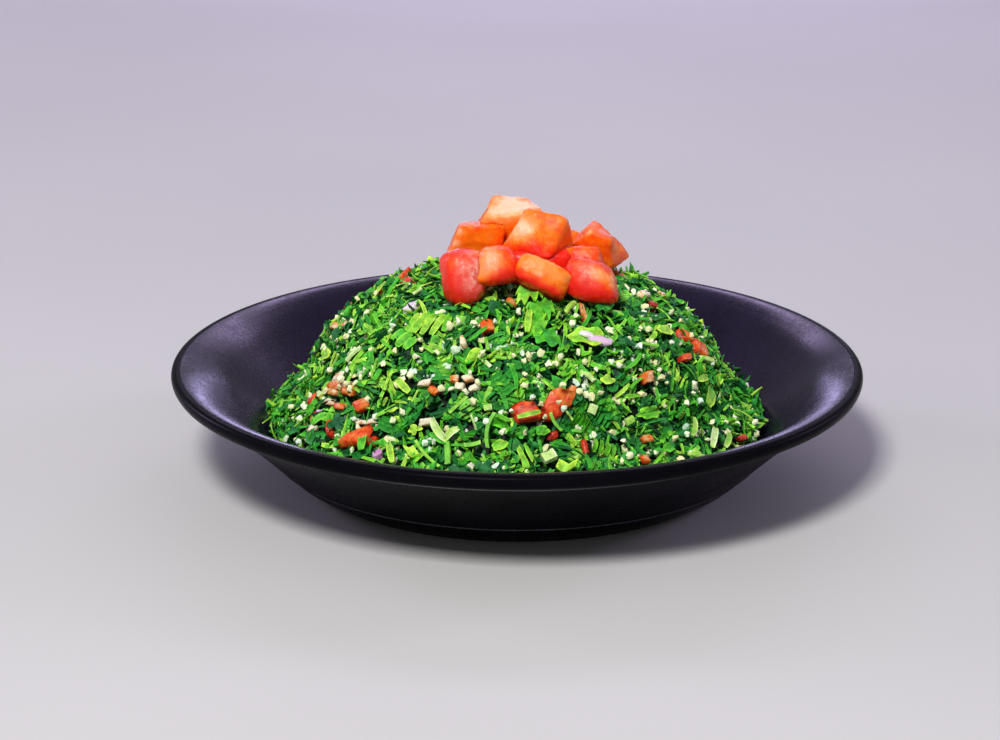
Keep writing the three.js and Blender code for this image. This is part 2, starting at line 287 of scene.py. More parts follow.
# turns a profile about the upright axis: a grid whose rows take the profile's points one by one
def revolveTree():
    tree, given = newGeometryTree("revolve", {"Points": "Int", "Turns": "Int", "Material": "Material"})
    grid = step(tree, "GeometryNodeMeshGrid", {
        "Size X": 1.0, "Size Y": 1.0, "Vertices X": given["Points"], "Vertices Y": given["Turns"],
    })
    position = step(tree, "GeometryNodeInputPosition", {})
    place = step(tree, "ShaderNodeSeparateXYZ", {0: position}).node.outputs
    lastRow = maths(tree, "SUBTRACT", given["Points"], 1.0)
    row = maths(tree, "MULTIPLY", maths(tree, "ADD", place["X"], 0.5), lastRow)
    point = step(tree, "GeometryNodeSampleIndex", {
        "Geometry": given["Geometry"], "Index": maths(tree, "ROUND", row), "Value": position,
    }, data_type="FLOAT_VECTOR")
    angle = maths(tree, "MULTIPLY", place["Y"], 2 * math.pi)
    turned = step(tree, "ShaderNodeVectorRotate", {"Vector": point, "Angle": angle}, rotation_type="Z_AXIS")
    moved = step(tree, "GeometryNodeSetPosition", {"Geometry": grid, "Position": turned})
    closed = step(tree, "GeometryNodeMergeByDistance", {"Geometry": moved, "Distance": 1e-6})
    return finishTree(tree, closed, given["Material"])


def revolve(name, profile, turns, material):
    line = meshFrom(name + "Profile", [(r * mm, 0, z * mm) for r, z in profile], [])
    host = linkObject(name + "Profile", line)
    mesh = runTree(host, revolveTree(), {"Points": len(profile), "Turns": turns + 1, "Material": material})
    bpy.data.objects.remove(host)
    mesh.name = name
    faceOutwards(mesh)
    return mesh


# scatters a collection of small pieces over a surface, clear of the toppings, as one joined mesh
def scatterTree():
    sizes = (
        "Density", "Smallest", "Largest", "Tilt", "Flow", "Lowest", "Highest", "Lumps", "Sparse", "Clearance",
        "Behind",
    )
    tree, given = newGeometryTree("scatter", {
        "Pieces": "Collection", "Toppings": "Object", "Seed": "Int", "Material": "Material",
        **dict.fromkeys(sizes, "Float"),
    })

    def field(scale, detail=1.0):
        return step(tree, "ShaderNodeTexNoise", {"Scale": scale, "Detail": detail}, "Fac")

    def less(first, second):
        inputs = {0: first, 1: second}
        return step(tree, "FunctionNodeCompare", inputs, data_type="FLOAT", operation="LESS_THAN")

    def either(first, second):
        return step(tree, "FunctionNodeBooleanMath", {0: first, 1: second}, operation="OR")

    def draw(low, high, seedShift, kind="FLOAT"):
        seed = maths(tree, "ADD", given["Seed"], float(seedShift))
        first, output = {"FLOAT": (2, 1), "INT": (4, 2)}[kind]  # the sockets for that kind of number
        inputs = {first: low, first + 1: high, "Seed": seed}
        return step(tree, "FunctionNodeRandomValue", inputs, output, data_type=kind)

    def vector(**parts):
        return step(tree, "ShaderNodeCombineXYZ", parts)

    def turn(rotation, by):
        inputs = {"Rotation": rotation, "Rotate By": by}
        return step(tree, "FunctionNodeRotateRotation", inputs, rotation_space="LOCAL")

    points = step(tree, "GeometryNodeDistributePointsOnFaces", {
        "Mesh": given["Geometry"], "Density": given["Density"], "Seed": given["Seed"],
    }, "Points", distribute_method="RANDOM")
    toppings = step(tree, "GeometryNodeObjectInfo", {"Object": given["Toppings"]}, "Geometry")
    away = step(tree, "GeometryNodeProximity", {0: toppings}, "Distance", target_element="FACES")
    depth = step(tree, "ShaderNodeSeparateXYZ", {0: step(tree, "GeometryNodeInputPosition", {})}, "Y")
    bare = either(less(field(95.0, 2.0), given["Sparse"]), less(depth, given["Behind"]))
    unwanted = either(less(away, given["Clearance"]), bare)
    kept = step(tree, "GeometryNodeDeleteGeometry", {
        "Geometry": points, "Selection": unwanted,
    }, domain="POINT")
    # neighbours lie partly the same way, and are partly the same green
    stray = maths(tree, "MULTIPLY", draw(-math.pi, math.pi, 3), maths(tree, "SUBTRACT", 1.0, given["Flow"]))
    heading = maths(tree, "MULTIPLY_ADD", field(55.0), 14.0, stray)
    tilt, backTilt = given["Tilt"], maths(tree, "MULTIPLY", given["Tilt"], -1.0)
    spun = turn(points.node.outputs["Rotation"], vector(Z=heading))
    leaned = turn(spun, vector(X=draw(backTilt, tilt, 1), Y=draw(backTilt, tilt, 2)))
    kinds = step(tree, "GeometryNodeCollectionInfo", {
        "Collection": given["Pieces"], "Separate Children": True, "Reset Children": True,
    })
    placed = step(tree, "GeometryNodeInstanceOnPoints", {
        "Points": kept, "Instance": kinds, "Pick Instance": True, "Instance Index": draw(0, 10000, 4, "INT"),
        "Rotation": leaned, "Scale": draw(given["Smallest"], given["Largest"], 5),
    })
    bulge = maths(tree, "SUBTRACT", field(170.0), 0.5)
    rise = maths(tree, "MULTIPLY_ADD", bulge, given["Lumps"], draw(given["Lowest"], given["Highest"], 6))
    lifted = step(tree, "GeometryNodeTranslateInstances", {
        "Instances": placed, "Translation": vector(Z=rise), "Local Space": True,
    })
    patch = maths(tree, "MULTIPLY_ADD", field(130.0), 1.4, -0.7)
    tinted = step(tree, "GeometryNodeStoreNamedAttribute", {
        "Geometry": lifted, "Name": "tint", "Value": maths(tree, "ADD", patch, draw(0.0, 1.0, 7)),
    }, data_type="FLOAT", domain="INSTANCE")
    real = step(tree, "GeometryNodeRealizeInstances", {"Geometry": tinted})
    return finishTree(tree, real, given["Material"])


cameraSettings = {
    "target": (0, 0, 25),
    "distance": 900,
    "elevation": 18.3,  # degrees
    "roll": 0.2,  # degrees
    "lens": 100.9,
    "shift": (-0.017, 0.0218),
}


def makeCamera(settings):
    data = bpy.data.cameras.new("camera")
    data.lens = settings["lens"]
    data.shift_x, data.shift_y = settings["shift"]
    camera = bpy.data.objects.new("camera", data)
    scene.collection.objects.link(camera)
    rise = math.radians(settings["elevation"])
    back = Vector((0, -math.cos(rise), math.sin(rise)))
    roll = Matrix.Rotation(math.radians(settings["roll"]), 4, "Z")
    aim = Matrix.Rotation(math.pi / 2 - rise, 4, "X") @ roll
    spot = (Vector(settings["target"]) + back * settings["distance"]) * mm
    camera.matrix_world = Matrix.Translation(spot) @ aim
    scene.camera = camera


# each light: where it hangs, what it aims at, its two sides, watts and colour
lightSettings = {
    "key": {"at": (-330, -1050, 1250), "aim": (0, 0, 50), "size": (340, 340), "power": 28,
            "colour": (1, 0.99, 0.97)},
    "low": {"at": (60, 1300, 110), "aim": (0, 0, 40), "size": (560, 150), "power": 1.2,
            "colour": (0.62, 0.55, 1)},
    "back": {"at": (100, 1200, 800), "aim": (0, 0, 40), "size": (1300, 200), "power": 5,
             "colour": (0.76, 0.64, 1)},
    "side": {"at": (1250, 520, 520), "aim": (0, 0, 30), "size": (260, 400), "power": 4.8,
             "colour": (0.76, 0.62, 1)},
    "far": {"at": (-1150, 700, 480), "aim": (0, 0, 30), "size": (260, 400), "power": 4.5,
            "colour": (0.76, 0.62, 1)},
    "world": {"colour": (0.97, 0.98, 1), "strength": 0.22},
}


def makeLights(settings):
    for name, given in settings.items():
        if name == "world":
            continue
        data = bpy.data.lights.new(name, "AREA")
        data.shape = "RECTANGLE"
        data.size, data.size_y = (side * mm for side in given["size"])
        data.energy = given["power"]
        data.color = given["colour"]
        lamp = bpy.data.objects.new(name, data)
        scene.collection.objects.link(lamp)
        lamp.location = Vector(given["at"]) * mm
        lamp.rotation_euler = (Vector(given["aim"]) - Vector(given["at"])).to_track_quat("-Z", "Y").to_euler()
    world = bpy.data.worlds.new("studio")
    world.use_nodes = True
    sky = world.node_tree.nodes["Background"]
    sky.inputs["Color"].default_value = (*settings["world"]["colour"], 1)
    sky.inputs["Strength"].default_value = settings["world"]["strength"]
    scene.world = world


floorSettings = {"half": 4000}


def makeFloor(settings):
    half = settings["half"] * mm
    corners = [(-half, -half, 0), (half, -half, 0), (half, half, 0), (-half, half, 0)]
    mesh = meshFrom("floor", corners, [(0, 1, 2, 3)])
    linkObject("floor", mesh, paleFloor())


makeCamera(cameraSettings)
makeLights(lightSettings)
makeFloor(floorSettings)
print("stage is set")


bowlSettings = {
    "foot": [(0, 2.4), (60.5, 2.4), (62, 0), (68, 0)],
    "outer": [(68.6, 0.5), (71.6, 2), (74.9, 4.3), (78, 7.3), (78.5, 7.9), (79.2, 8.2), (81.9, 11),
              (90.4, 19), (98.6, 25.6), (104.8, 30.4)],
    "lip": [(104.8, 30.4), (105.8, 30.5), (106.6, 31), (107.8, 31.2), (109.2, 31.9), (109.9, 33.2),
            (110, 34.3), (109.6, 35.3), (108.4, 35.95), (106.4, 35.85), (104.2, 35.2), (102.2, 34.3)],
    "inner": [(102.2, 34.3), (99.4, 32.6), (96, 29.9), (90, 24.4), (78.6, 14), (73, 9.3), (69, 7.4),
              (62, 7.2)],
    "brim": 34.3,
    "turns": 200,
    # darkest, lightest, roughness of the dullest and glossiest patches, and how strongly it reflects
    # the outside glaze is kept darker than the inside one, as painted shade
    "outside": ((0.0016, 0.0016, 0.0024), (0.004, 0.0038, 0.0055), (0.4, 0.26), 0.025),
    # the inside glaze is lighter and violet, as painted light and painted sheen
    "within": ((0.002, 0.0015, 0.0045), (0.016, 0.011, 0.034), (0.33, 0.17), 0.3),
    # the edge glaze is a light copy that paints two thin highlight lines, one under the lip and one above the
    # foot
    "edge": ((0.03, 0.028, 0.036), (0.08, 0.076, 0.096), (0.3, 0.2), 0.4),
    "blackFrom": 107.4,  # the radius at which the rim turns from violet to black, from the painted-light glaze to the painted-shade one
    "edges": ((77.9, 79), (103.3, 104.8)),  # where two thin painted highlight lines lie, as spans of radius
}


# a smooth curve through points, as rows of (radius, height)
def splineThrough(points, stepsBetween):
    path = np.array([points[0], *points, points[-1]], float)
    rows = []
    for i in range(1, len(path) - 2):
        before, here, there, after = path[i - 1 : i + 3]
        for t in np.arange(stepsBetween) / stepsBetween:
            slopeHere = (there - before) / 2
            slopeThere = (after - here) / 2
            rows.append(
                (2 * t**3 - 3 * t**2 + 1) * here
                + (t**3 - 2 * t**2 + t) * slopeHere
                + (3 * t**2 - 2 * t**3) * there
                + (t**3 - t**2) * slopeThere
            )
    return [*map(tuple, rows), tuple(path[-1])]


innerLine = np.array(splineThrough(bowlSettings["inner"], 8))


# how high the inside of the bowl is at some distances from the axis, in millimetres
def insideHeight(radii):
    return np.interp(radii, innerLine[::-1, 0], innerLine[::-1, 1], right=bowlSettings["brim"])


def makeBowl(settings):
    outer, lip = splineThrough(settings["outer"], 6), splineThrough(settings["lip"], 3)
    profile = [*settings["foot"], *outer, *lip[1:-1], *map(tuple, innerLine), (0, settings["inner"][-1][1])]
    mesh = revolve("bowlShell", profile, settings["turns"], None)
    mesh.materials.clear()
    glazes = ("outside", "within", "edge")
    for name in glazes:
        mesh.materials.append(bowlGlaze(name + "Glaze", *settings[name]))
    outerLine = np.array(outer)
    for face in mesh.polygons:
        radius, height = math.hypot(face.center.x, face.center.y) / mm, face.center.z / mm
        middle = (insideHeight(radius) + np.interp(radius, outerLine[:, 0], outerLine[:, 1])) / 2
        # the inside takes the lighter violet glaze as painted light; the outside and the lip's front take the
        # black glaze as painted shade
        if height > middle and radius < settings["blackFrom"]:
            glaze = "within"
        else:
            # two thin rings take the light edge glaze as painted highlight lines
            glaze = "edge" if any(low < radius < high for low, high in settings["edges"]) else "outside"
        face.material_index = glazes.index(glaze)
    smoothShade(mesh, 38)
    return linkObject("bowlShell", mesh)


dress(makeBowl(bowlSettings), "bowl")


# at is the centre, turn is roll, pitch and heading in degrees, size is length, width and height.
# round is how square the block is (2 a ball, 12 a box). pull moves the corners named by their
# three signs. tone is 0 red, 0.5 orange, 1 peach. Skin lies towards skin, past the level at its end.
# A spot is its place in the block, its reach, how much paler it is and how much painted sheen it adds. The
# paler spots stand partly for pale flesh and partly for painted highlights.
diceSettings = {
    "gap": 0.06,
    "steps": 16,
    "dice": [
        {"name": "front_mid", "at": (-7, -23, 73.4), "turn": (-20, -3, 10), "size": (14, 11, 12),
         "taper": 0.25, "round": 3.6, "tone": 0.36, "skin": (0.4, -0.4, -0.85, 0.85),
         "spots": [(-0.35, -0.9, 0.25, 1, 0.36, 0.8), (-1, -0.6, -0.6, 0.9, 0.24, 0),
                   (1, -0.5, 0.4, 1, -0.2, 0)]},
        {"name": "front_left", "at": (-16.4, -24, 69.9), "turn": (-16, 8, 18), "size": (14.5, 12, 17.5),
         "taper": -0.25, "round": 2.8, "tone": 0.2, "skin": (0, -0.5, -0.9, 0.35),
         "spots": [(0.15, -0.85, 0.15, 1.15, 0.06, 1), (0.7, -0.5, 0.9, 0.9, 0.2, 0)]},
        {"name": "front_slab", "at": (7.6, -25, 70.4), "turn": (-26, 27, -6), "size": (17.5, 11, 9.5),
         "round": 5, "tone": 0.5, "skin": (0, -0.3, -1, 0.75),
         "spots": [(-0.4, -0.7, 0.5, 1.1, 0.2, 0.1), (0.7, -0.7, 0.4, 0.8, 0.14, 0)]},
        {"name": "front_right", "at": (22.8, -24, 69), "turn": (-14, 8, -14), "size": (16, 12, 13),
         "lean": -0.2, "taper": 0.1, "round": 3.4, "tone": 0.24, "skin": (-0.3, -0.4, -0.85, 0.4),
         # its second spot is a painted highlight
         "spots": [(0, -0.8, 0.4, 0.9, 0.04, 0.6), (0.45, -0.8, 0.4, 0.55, 0.5, 0.5),
                   (0.95, -0.5, 0.2, 0.7, 0.46, 0)]},
        {"name": "top_front", "at": (7, -6, 78.2), "turn": (-18, 13, -24), "size": (20, 14, 15.5),
         "lean": -0.1, "round": 9, "tone": 0.42, "skin": (0.2, -0.2, -0.95, 1),
         "spots": [(-0.6, -1, 0.1, 0.8, 0.62, 0.35), (0.3, -1, -0.9, 1.1, -0.3, 0),
                   (0.6, -0.7, 0.3, 1.1, 0.06, 0)],
         "pull": {(-1, -1, 1): (5.6, 1, 0), (-1, 1, 1): (4, 0.5, -2), (1, -1, -1): (-2.5, -0.5, 1.5),
                  (1, -1, 1): (0.5, 0, 1.5), (1, 1, -1): (-1, 0, 8.5), (1, 1, 1): (-1, 0, -4)}},
        {"name": "left", "at": (-14.6, 1, 73.3), "turn": (4, -2, 10), "size": (15, 10, 13.5), "lean": 0.25,
         "round": 12, "tone": 0.43, "skin": (0.8, -0.3, -0.8, 1.3),
         # its first three spots paint a highlight line along the front left edge
         "spots": [(-1, -1, 0.6, 0.35, 0.5, 0.7), (-1, -1, 0, 0.35, 0.5, 0.7),
                   (-1, -1, -0.6, 0.4, 0.4, 0.7), (0.2, -1, -0.9, 1.2, 0.12, 0)],
         "pull": {(-1, -1, -1): (1, 1.5, 4.5), (-1, -1, 1): (1.5, 0.5, 2), (-1, 1, -1): (1.5, 0.5, 2),
                  (-1, 1, 1): (2.5, -0.5, 0), (1, -1, -1): (3, 0.5, 2), (1, -1, 1): (1.5, 0, 1),
                  (1, 1, 1): (-2.5, 0, -1)}},
        {"name": "top", "at": (-3.2, 7, 80.2), "turn": (8, 10, 6), "size": (15.5, 12, 12), "lean": 0.2,
         "taper": 0.15, "round": 10, "tone": 0.47, "skin": (0, 0.3, -0.9, 1.1),
         "spots": [(-0.3, -0.4, 1, 1.3, 0.66, 0.2), (0.7, -0.4, 1, 0.9, 0.46, 0), (0, 0.8, 1, 1.3, 0.5, 0)],
         "pull": {(-1, -1, -1): (0.5, 1, 2.5), (-1, -1, 1): (-3.5, -0.5, -3), (-1, 1, -1): (2, 0, 0.5),
                  (1, -1, 1): (2, 0.5, 1.5), (1, 1, 1): (-2, 0.5, 0.5)}},
        {"name": "right", "at": (19.5, -8, 72.8), "turn": (-12, -14, -10), "size": (13.5, 12, 11),
         "round": 5, "tone": 0.3, "skin": (-0.8, -0.5, -0.4, 0.95),
         "spots": [(0.1, -0.8, 0.8, 0.8, 0.06, 0)],
         "pull": {(-1, -1, 1): (1.5, 0.5, -1.5), (-1, 1, 1): (3.5, 0.5, -4), (1, -1, 1): (2, 0.5, -4),
                  (1, 1, 1): (-2, -0.5, -4)}},
        {"name": "far_right", "at": (25.5, 5, 72.8), "turn": (6, 26, -14), "size": (17, 10, 13),
         "lean": -0.15, "taper": 0.5, "round": 11, "tone": 0.38, "skin": (0.1, 1, 0, 1.2),
         # its first two spots paint highlights on its edges
         "spots": [(0.4, -1, -1, 0.6, 0.5, 0.6), (-1, -0.9, 0.8, 0.4, 0.5, 0.5), (1, 0, 0.2, 1.2, 0.14, 0)],
         "pull": {(-1, -1, -1): (3.5, 1.5, 2), (-1, -1, 1): (2, -0.5, -1), (-1, 1, -1): (3, 0, -0.5),
                  (-1, 1, 1): (0.5, -0.5, -1), (1, -1, -1): (-6, 0.5, 2), (1, -1, 1): (1, 0, -0.5),
                  (1, 1, -1): (-3, 2, 5), (1, 1, 1): (1, -1.5, -3)}},
        {"name": "middle", "at": (5.5, -8.5, 70), "turn": (4, -2, 2), "size": (25, 13, 12), "round": 5,
         "tone": 0.16, "skin": (0, -1, 0, 0.6)},
        {"name": "back_left", "at": (-11.5, 16, 71), "turn": (14, 6, 158), "size": (14.5, 12, 12),
         "lean": 0.1, "taper": 0.1, "round": 4, "tone": 0.4, "skin": (0, -0.5, -0.8, 0.6),
         "spots": [(0.3, -0.8, 0.4, 1.1, 0.25, 0.4)]},
        {"name": "back", "at": (3, 20.5, 70.5), "turn": (16, -10, 176), "size": (15, 12, 12), "lean": -0.1,
         "round": 3.6, "tone": 0.3, "skin": (0, -0.4, -0.9, 0.4),
         "spots": [(0.2, -0.7, 0.6, 1.2, 0.15, 0.8)]},
        {"name": "back_right", "at": (14, 17, 68.2), "turn": (10, 14, 205), "size": (11.5, 12, 10),
         "taper": -0.1, "round": 5, "tone": 0.46, "skin": (0.3, -0.4, -0.8, 0.8),
         "spots": [(-0.3, -0.7, 0.5, 1, 0.25, 0.2)]},
    ],
}


# a block of cells from -1 to 1 each way, as one closed skin, rounded to its squareness
def roundedBlock(name, steps, squareness):
    work = bmesh.new()
    bmesh.ops.create_cube(work, size=2)
    bmesh.ops.subdivide_edges(work, edges=work.edges, cuts=steps - 1, use_grid_fill=True)
    mesh = meshFromWork(name, work)
    p = cornersOf(mesh)
    reach = (np.abs(p) ** squareness).sum(1) ** (1 / squareness)
    return mesh, p * (np.abs(p).max(1) / reach)[:, None]


# moves corners by waves of noise, each with its fineness, start and reach
def roughen(p, waves):
    for i, corner in enumerate(p):
        place = Vector(corner)
        p[i] += sum(
            np.array(noise.noise_vector(place * fineness + start)) * reach for fineness, start, reach in waves
        )


def makeDie(die, growth, steps, seedPlace):
    mesh, p = roundedBlock("tomato_dice_" + die["name"], steps, die["round"])
    local = p.copy()
    skinSide = p[:, 1] < 0
    p[skinSide, 1] *= 1 + 0.2 * (1 - 0.6 * p[skinSide, 0] ** 2) * (1 - 0.5 * p[skinSide, 2] ** 2)
    p[:, 0] = p[:, 0] * (1 - die.get("taper", 0) * p[:, 2]) + die.get("lean", 0) * p[:, 2]
    p *= (np.array(die["size"]) + 2 * growth) / 2
    for signs, move in die.get("pull", {}).items():
        share = ((1 + local * np.array(signs)) / 2).prod(1)
        p += share[:, None] * np.array(move)
    roughen(p, [(0.13, seedPlace, 0.55), (0.55, seedPlace, 0.3)])
    moveCorners(mesh, (p @ np.array(turnMatrix(die["turn"])).T + np.array(die["at"])) * mm)
    pale = np.full(len(p), die["tone"])
    # the spots add painted highlights to the paleness, and painted sheen
    paintedSheenAmount = np.zeros(len(p))
    for x, y, z, reach, paler, moreSheen in die.get("spots", []):
        near = np.clip(1 - np.linalg.norm(local - (x, y, z), axis=1) / reach, 0, 1)
        near = near * near * (3 - 2 * near)
        pale += paler * near
        paintedSheenAmount += moreSheen * near
    depth = local @ np.array(die["skin"][:3]) - die["skin"][3]
    pale *= 1 - np.clip(depth / 0.7 + 0.5, 0, 1) * 0.9
    storeValues(mesh, "pale", pale)
    storeValues(mesh, "bloom", paintedSheenAmount)
    return mesh


def cutAway(piece, tools):
    for tool in tools:
        cut = piece.modifiers.new("cut", "BOOLEAN")
        cut.operation = "DIFFERENCE"
        cut.solver = "MANIFOLD"
        cut.object = tool
    mesh = evaluatedMesh(piece)
    piece.modifiers.clear()
    piece.data = mesh


def boxesMeet(one, other):
    first, second = (cornersOf(piece.data) for piece in (one, other))
    return bool((first.min(0) < second.max(0)).all() and (second.min(0) < first.max(0)).all())


def makeDice(settings):
    flesh = tomatoFlesh("tomatoFlesh", [
        (0.0, (0.78, 0.012, 0.006)), (0.2, (0.86, 0.034, 0.005)), (0.36, (0.93, 0.11, 0.004)),
        (0.5, (0.94, 0.2, 0.004)), (0.72, (0.93, 0.34, 0.08)), (1.0, (0.92, 0.6, 0.38)),
    ])
    made, grown = [], []
    for i, die in enumerate(settings["dice"]):
        seedPlace = Vector((17.0 * i, 5.0, 3.0 * i))
        piece = linkObject("tomatoDice" + str(i), makeDie(die, 0, settings["steps"], seedPlace), flesh)
        cutAway(piece, [tool for tool in grown if boxesMeet(piece, tool)])
        larger = makeDie(die, settings["gap"], settings["steps"], seedPlace)
        grown.append(linkObject("grown" + str(i), larger))
        made.append(piece)
    for tool in grown:
        bpy.data.objects.remove(tool)
    for piece, die in zip(made, settings["dice"]):
        smoothShade(piece.data, 42)
        dress(piece, "tomato_dice_" + die["name"])
    return made


dicePieces = makeDice(diceSettings)


heapSettings = {
    "radius": 80.5,
    "footZ": 17,
    "rise": 49.5,
    "power": 3,
    "waist": (59, 6.5),  # a hollow from this distance from the axis to the foot, and its depth
    "inset": 4.4,  # how deep the dark core lies under the outline; its near-black green is painted shade for the gaps
    "under": (0, 40, 62, 66, 70, 74),  # where the core's underside bends, as distances from the axis
    "underLift": 0.4,
    "waves": ((22, 1.0), (210, 0.9)),  # its bumps: how fine and how high
    "middle": 12,  # the height that the bumps point away from
    "lumps": 5.0,  # how unevenly the pieces rise over it
    "lowest": 15.5,  # nothing is strewn below this height
    "rings": 70,
    "ringSpread": 0.7,
    "turns": 220,
    # the core's near-black greens are painted shade, seen through the gaps between pieces
    "darkest": (0.003, 0.016, 0.005),
    "lightest": (0.01, 0.05, 0.014),
}


def heapHeight(radius, inset):
    settings = heapSettings
    share = min(1, radius / (settings["radius"] - inset))
    start, depth = settings["waist"]
    pastWaist = max(0, (share * settings["radius"] - start) / (settings["radius"] - start))
    hollow = depth * math.sin(math.pi * pastWaist) ** 2
    return settings["footZ"] + (settings["rise"] - inset) * (1 - share ** settings["power"]) - hollow


def makeCore(settings):
    inset, edge = settings["inset"], settings["radius"] - settings["inset"]
    radii = (*settings["under"], edge - 0.8)
    under = [(radius, float(insideHeight(radius)) + settings["underLift"]) for radius in radii]
    radii = [edge * (1 - s) ** settings["ringSpread"] for s in np.linspace(0, 1, settings["rings"])]
    dome = [(radius, heapHeight(radius, inset)) for radius in radii]
    stops = [(0.0, settings["darkest"]), (1.0, settings["lightest"])]
    # near-black green, as painted shade in the gaps
    dark = leafGreen("darkCore", stops, 0.6, 0.3, (1, 1, 1))
    mesh = revolve("saladCore", [*under, *dome], settings["turns"], dark)
    corners = cornersOf(mesh)
    for i, corner in enumerate(corners):
        radius = math.hypot(corner[0], corner[1]) / mm
        if radius < edge - 0.6 and corner[2] / mm > heapHeight(radius, inset) - 0.2:
            rise = sum(noise.noise(Vector(corner) * fine) * height for fine, height in settings["waves"])
            outward = Vector(corner) - Vector((0, 0, settings["middle"] * mm))
            corners[i] = Vector(corner) + outward.normalized() * rise * mm
    moveCorners(mesh, corners)
    mesh.shade_smooth()
    return linkObject("saladCore", mesh)


# the part of the core's surface that faces up and lies above the lowest pieces
def topSurface(core, lowest):
    work = bmesh.new()
    work.from_mesh(core.data)
    hidden = [f for f in work.faces if f.normal.z < 0.05 or f.calc_center_median().z < lowest * mm]
    bmesh.ops.delete(work, geom=hidden, context="FACES")
    return linkObject("scatterSurface", meshFromWork("scatterSurface", work))


# A shape is its corners in millimetres, its faces, and a shade for each corner: how near it is to a
# cut edge of a leaf, or how pale it is on tomato and onion.
def joinShapes(shapes):
    corners, faces, shades = [], [], []
    for given, sides, shade in shapes:
        faces += [tuple(k + len(corners) for k in side) for side in sides]
        corners += [tuple(c) for c in given]
        shades += list(shade)
    return np.array(corners), faces, shades


def meshFromShape(name, shape, shadeName="rim"):
    corners, faces, shades = shape
    mesh = meshFrom(name, np.array(corners) * mm, faces)
    faceOutwards(mesh)
    storeValues(mesh, shadeName, shades)
    return mesh


# the faces of a rod whose rings of corners follow one another
def rodFaces(sides, segments):
    faces = []
    for a in range(0, sides * segments, sides):
        for k in range(sides):
            n = (k + 1) % sides
            faces.append((a + k, a + n, a + sides + n, a + sides + k))
    return faces + [tuple(reversed(range(sides))), tuple(segments * sides + k for k in range(sides))]


# a thin disc of rings, both sides of it; place gives a corner of its middle layer from the ring's level
# (1 at the rim) and the corner's number
def discShape(around, rings, place, rimShare=1.0, thickness=0.26):
    corners, faces, rims = [], [], []
    for side in (0.5, -0.5):
        for ring in range(rings + 1):
            for k in range(around if ring else 1):
                x, y, z = place(ring / rings, k)
                corners.append((x, y, z + side * thickness * (rimShare if ring == rings else 1)))
                rims.append(ring / rings)
    low, edge = 1 + rings * around, 1 + (rings - 1) * around
    for k in range(around):
        n = (k + 1) % around
        faces += [(0, 1 + k, 1 + n), (low, low + 1 + n, low + 1 + k)]
        for a in range(1, edge, around):
            b, c = a + around, low + a
            faces += [(a + k, b + k, b + n, a + n), (c + k, c + n, c + around + n, c + around + k)]
        faces.append((edge + k, low + edge + k, low + edge + n, edge + n))
    return corners, faces, rims


# a strip of leaf: thin and closed, folded along its middle, arched over arc and twisted (radians)
def leafStrip(length, width, fold=0.3, arc=0.6, twist=0.0, sway=0.0, lean=0.0, thickness=0.28, segments=4):
    corners = []
    arc = arc if abs(arc) > 0.01 else 0.01
    radius = length / arc
    for t in (i / segments - 0.5 for i in range(segments + 1)):
        half = width / 2 * (1 - 0.35 * abs(2 * t) ** 4)
        along, angle = arc * t, lean + twist * t
        for y, z in ((-half, fold), (0, thickness / 2), (half, fold), (0, -thickness / 2)):
            across, up = y * math.cos(angle) - z * math.sin(angle), y * math.sin(angle) + z * math.cos(angle)
            corners.append((
                (radius + up) * math.sin(along),
                across + sway * (4 * t * t - 0.35),
                (radius + up) * math.cos(along) - radius + 0.06 * length * abs(arc),
            ))
    return corners, rodFaces(4, segments), [1, 0, 1, 0] * (segments + 1)


# leaves cut together: strips lying side by side on their edges like pleats
def leafPleats(strips, pitch, length, width, arc, lean, seed=0, draw=None):
    draw = draw or np.random.default_rng(seed)
    made = []
    for i in range(strips):
        share = 1 - 0.25 * abs(2 * i / max(1, strips - 1) - 1) + 0.15 * draw.random()
        ownWidth = width * (0.85 + 0.3 * draw.random())
        corners, faces, rims = leafStrip(length * share, ownWidth, 0.4, arc, 0, 0.3, lean)
        shift = (i - (strips - 1) / 2) * pitch * (0.9 + 0.2 * draw.random())
        made.append(([(x + 0.8 * (draw.random() - 0.5), y + shift, z) for x, y, z in corners], faces, rims))
    return joinShapes(made)


# a chopped piece of leaf blade: straight cuts all round, curled, folded and puckered
def leafPatch(size, stretch, cuts, curl, fold, pucker, draw, rings=2):
    angles = (np.arange(cuts) + 0.7 * draw.random(cuts)) / cuts * 2 * math.pi
    reach = 0.75 + 0.45 * draw.random(cuts)
    points = np.stack([np.cos(angles), np.sin(angles)], 1) * reach[:, None]
    outline = []
    for i in range(cuts):
        here, there = points[i], points[(i + 1) % cuts]
        outline += [here, (here + there) / 2 * (0.92 + 0.16 * draw.random())]
    seed = 9 * draw.random()

    def place(level, k):
        x, y = outline[k][0] * size * stretch * level / 2, outline[k][1] * size * level / 2
        wave = noise.noise(Vector((x * 0.55, y * 0.55, seed)))
        return x, y, curl * x * x / size + fold * abs(y) + pucker * wave * 2

    return discShape(len(outline), rings, place, 0.6)


# a scrap of curly leaf: a thin disc with lobes and a ruffled edge, cupped, and creased along its middle
def leafCurl(length, width, wave, lobes, seed, frill=0.26, cup=0.0, crease=0.0, rings=2):
    around = 6 * lobes

    def place(level, k):
        angle = 2 * math.pi * k / around
        lobe = 1 - 2 * frill * (1 - abs(math.cos(lobes * angle / 2))) * level**3
        stray = 1 + 0.3 * noise.noise(Vector((math.cos(angle), math.sin(angle), seed)))
        reach = level * lobe * stray / 2
        ruffle = math.sin(lobes * angle + 2 * seed) * level**2 + 0.7 * math.sin(2 * angle + seed) * level
        rise = wave * ruffle + cup * level**2 + crease * width / 2 * level * abs(math.sin(angle))
        return reach * length * math.cos(angle), reach * width * math.sin(angle), rise

    return discShape(around, rings, place)


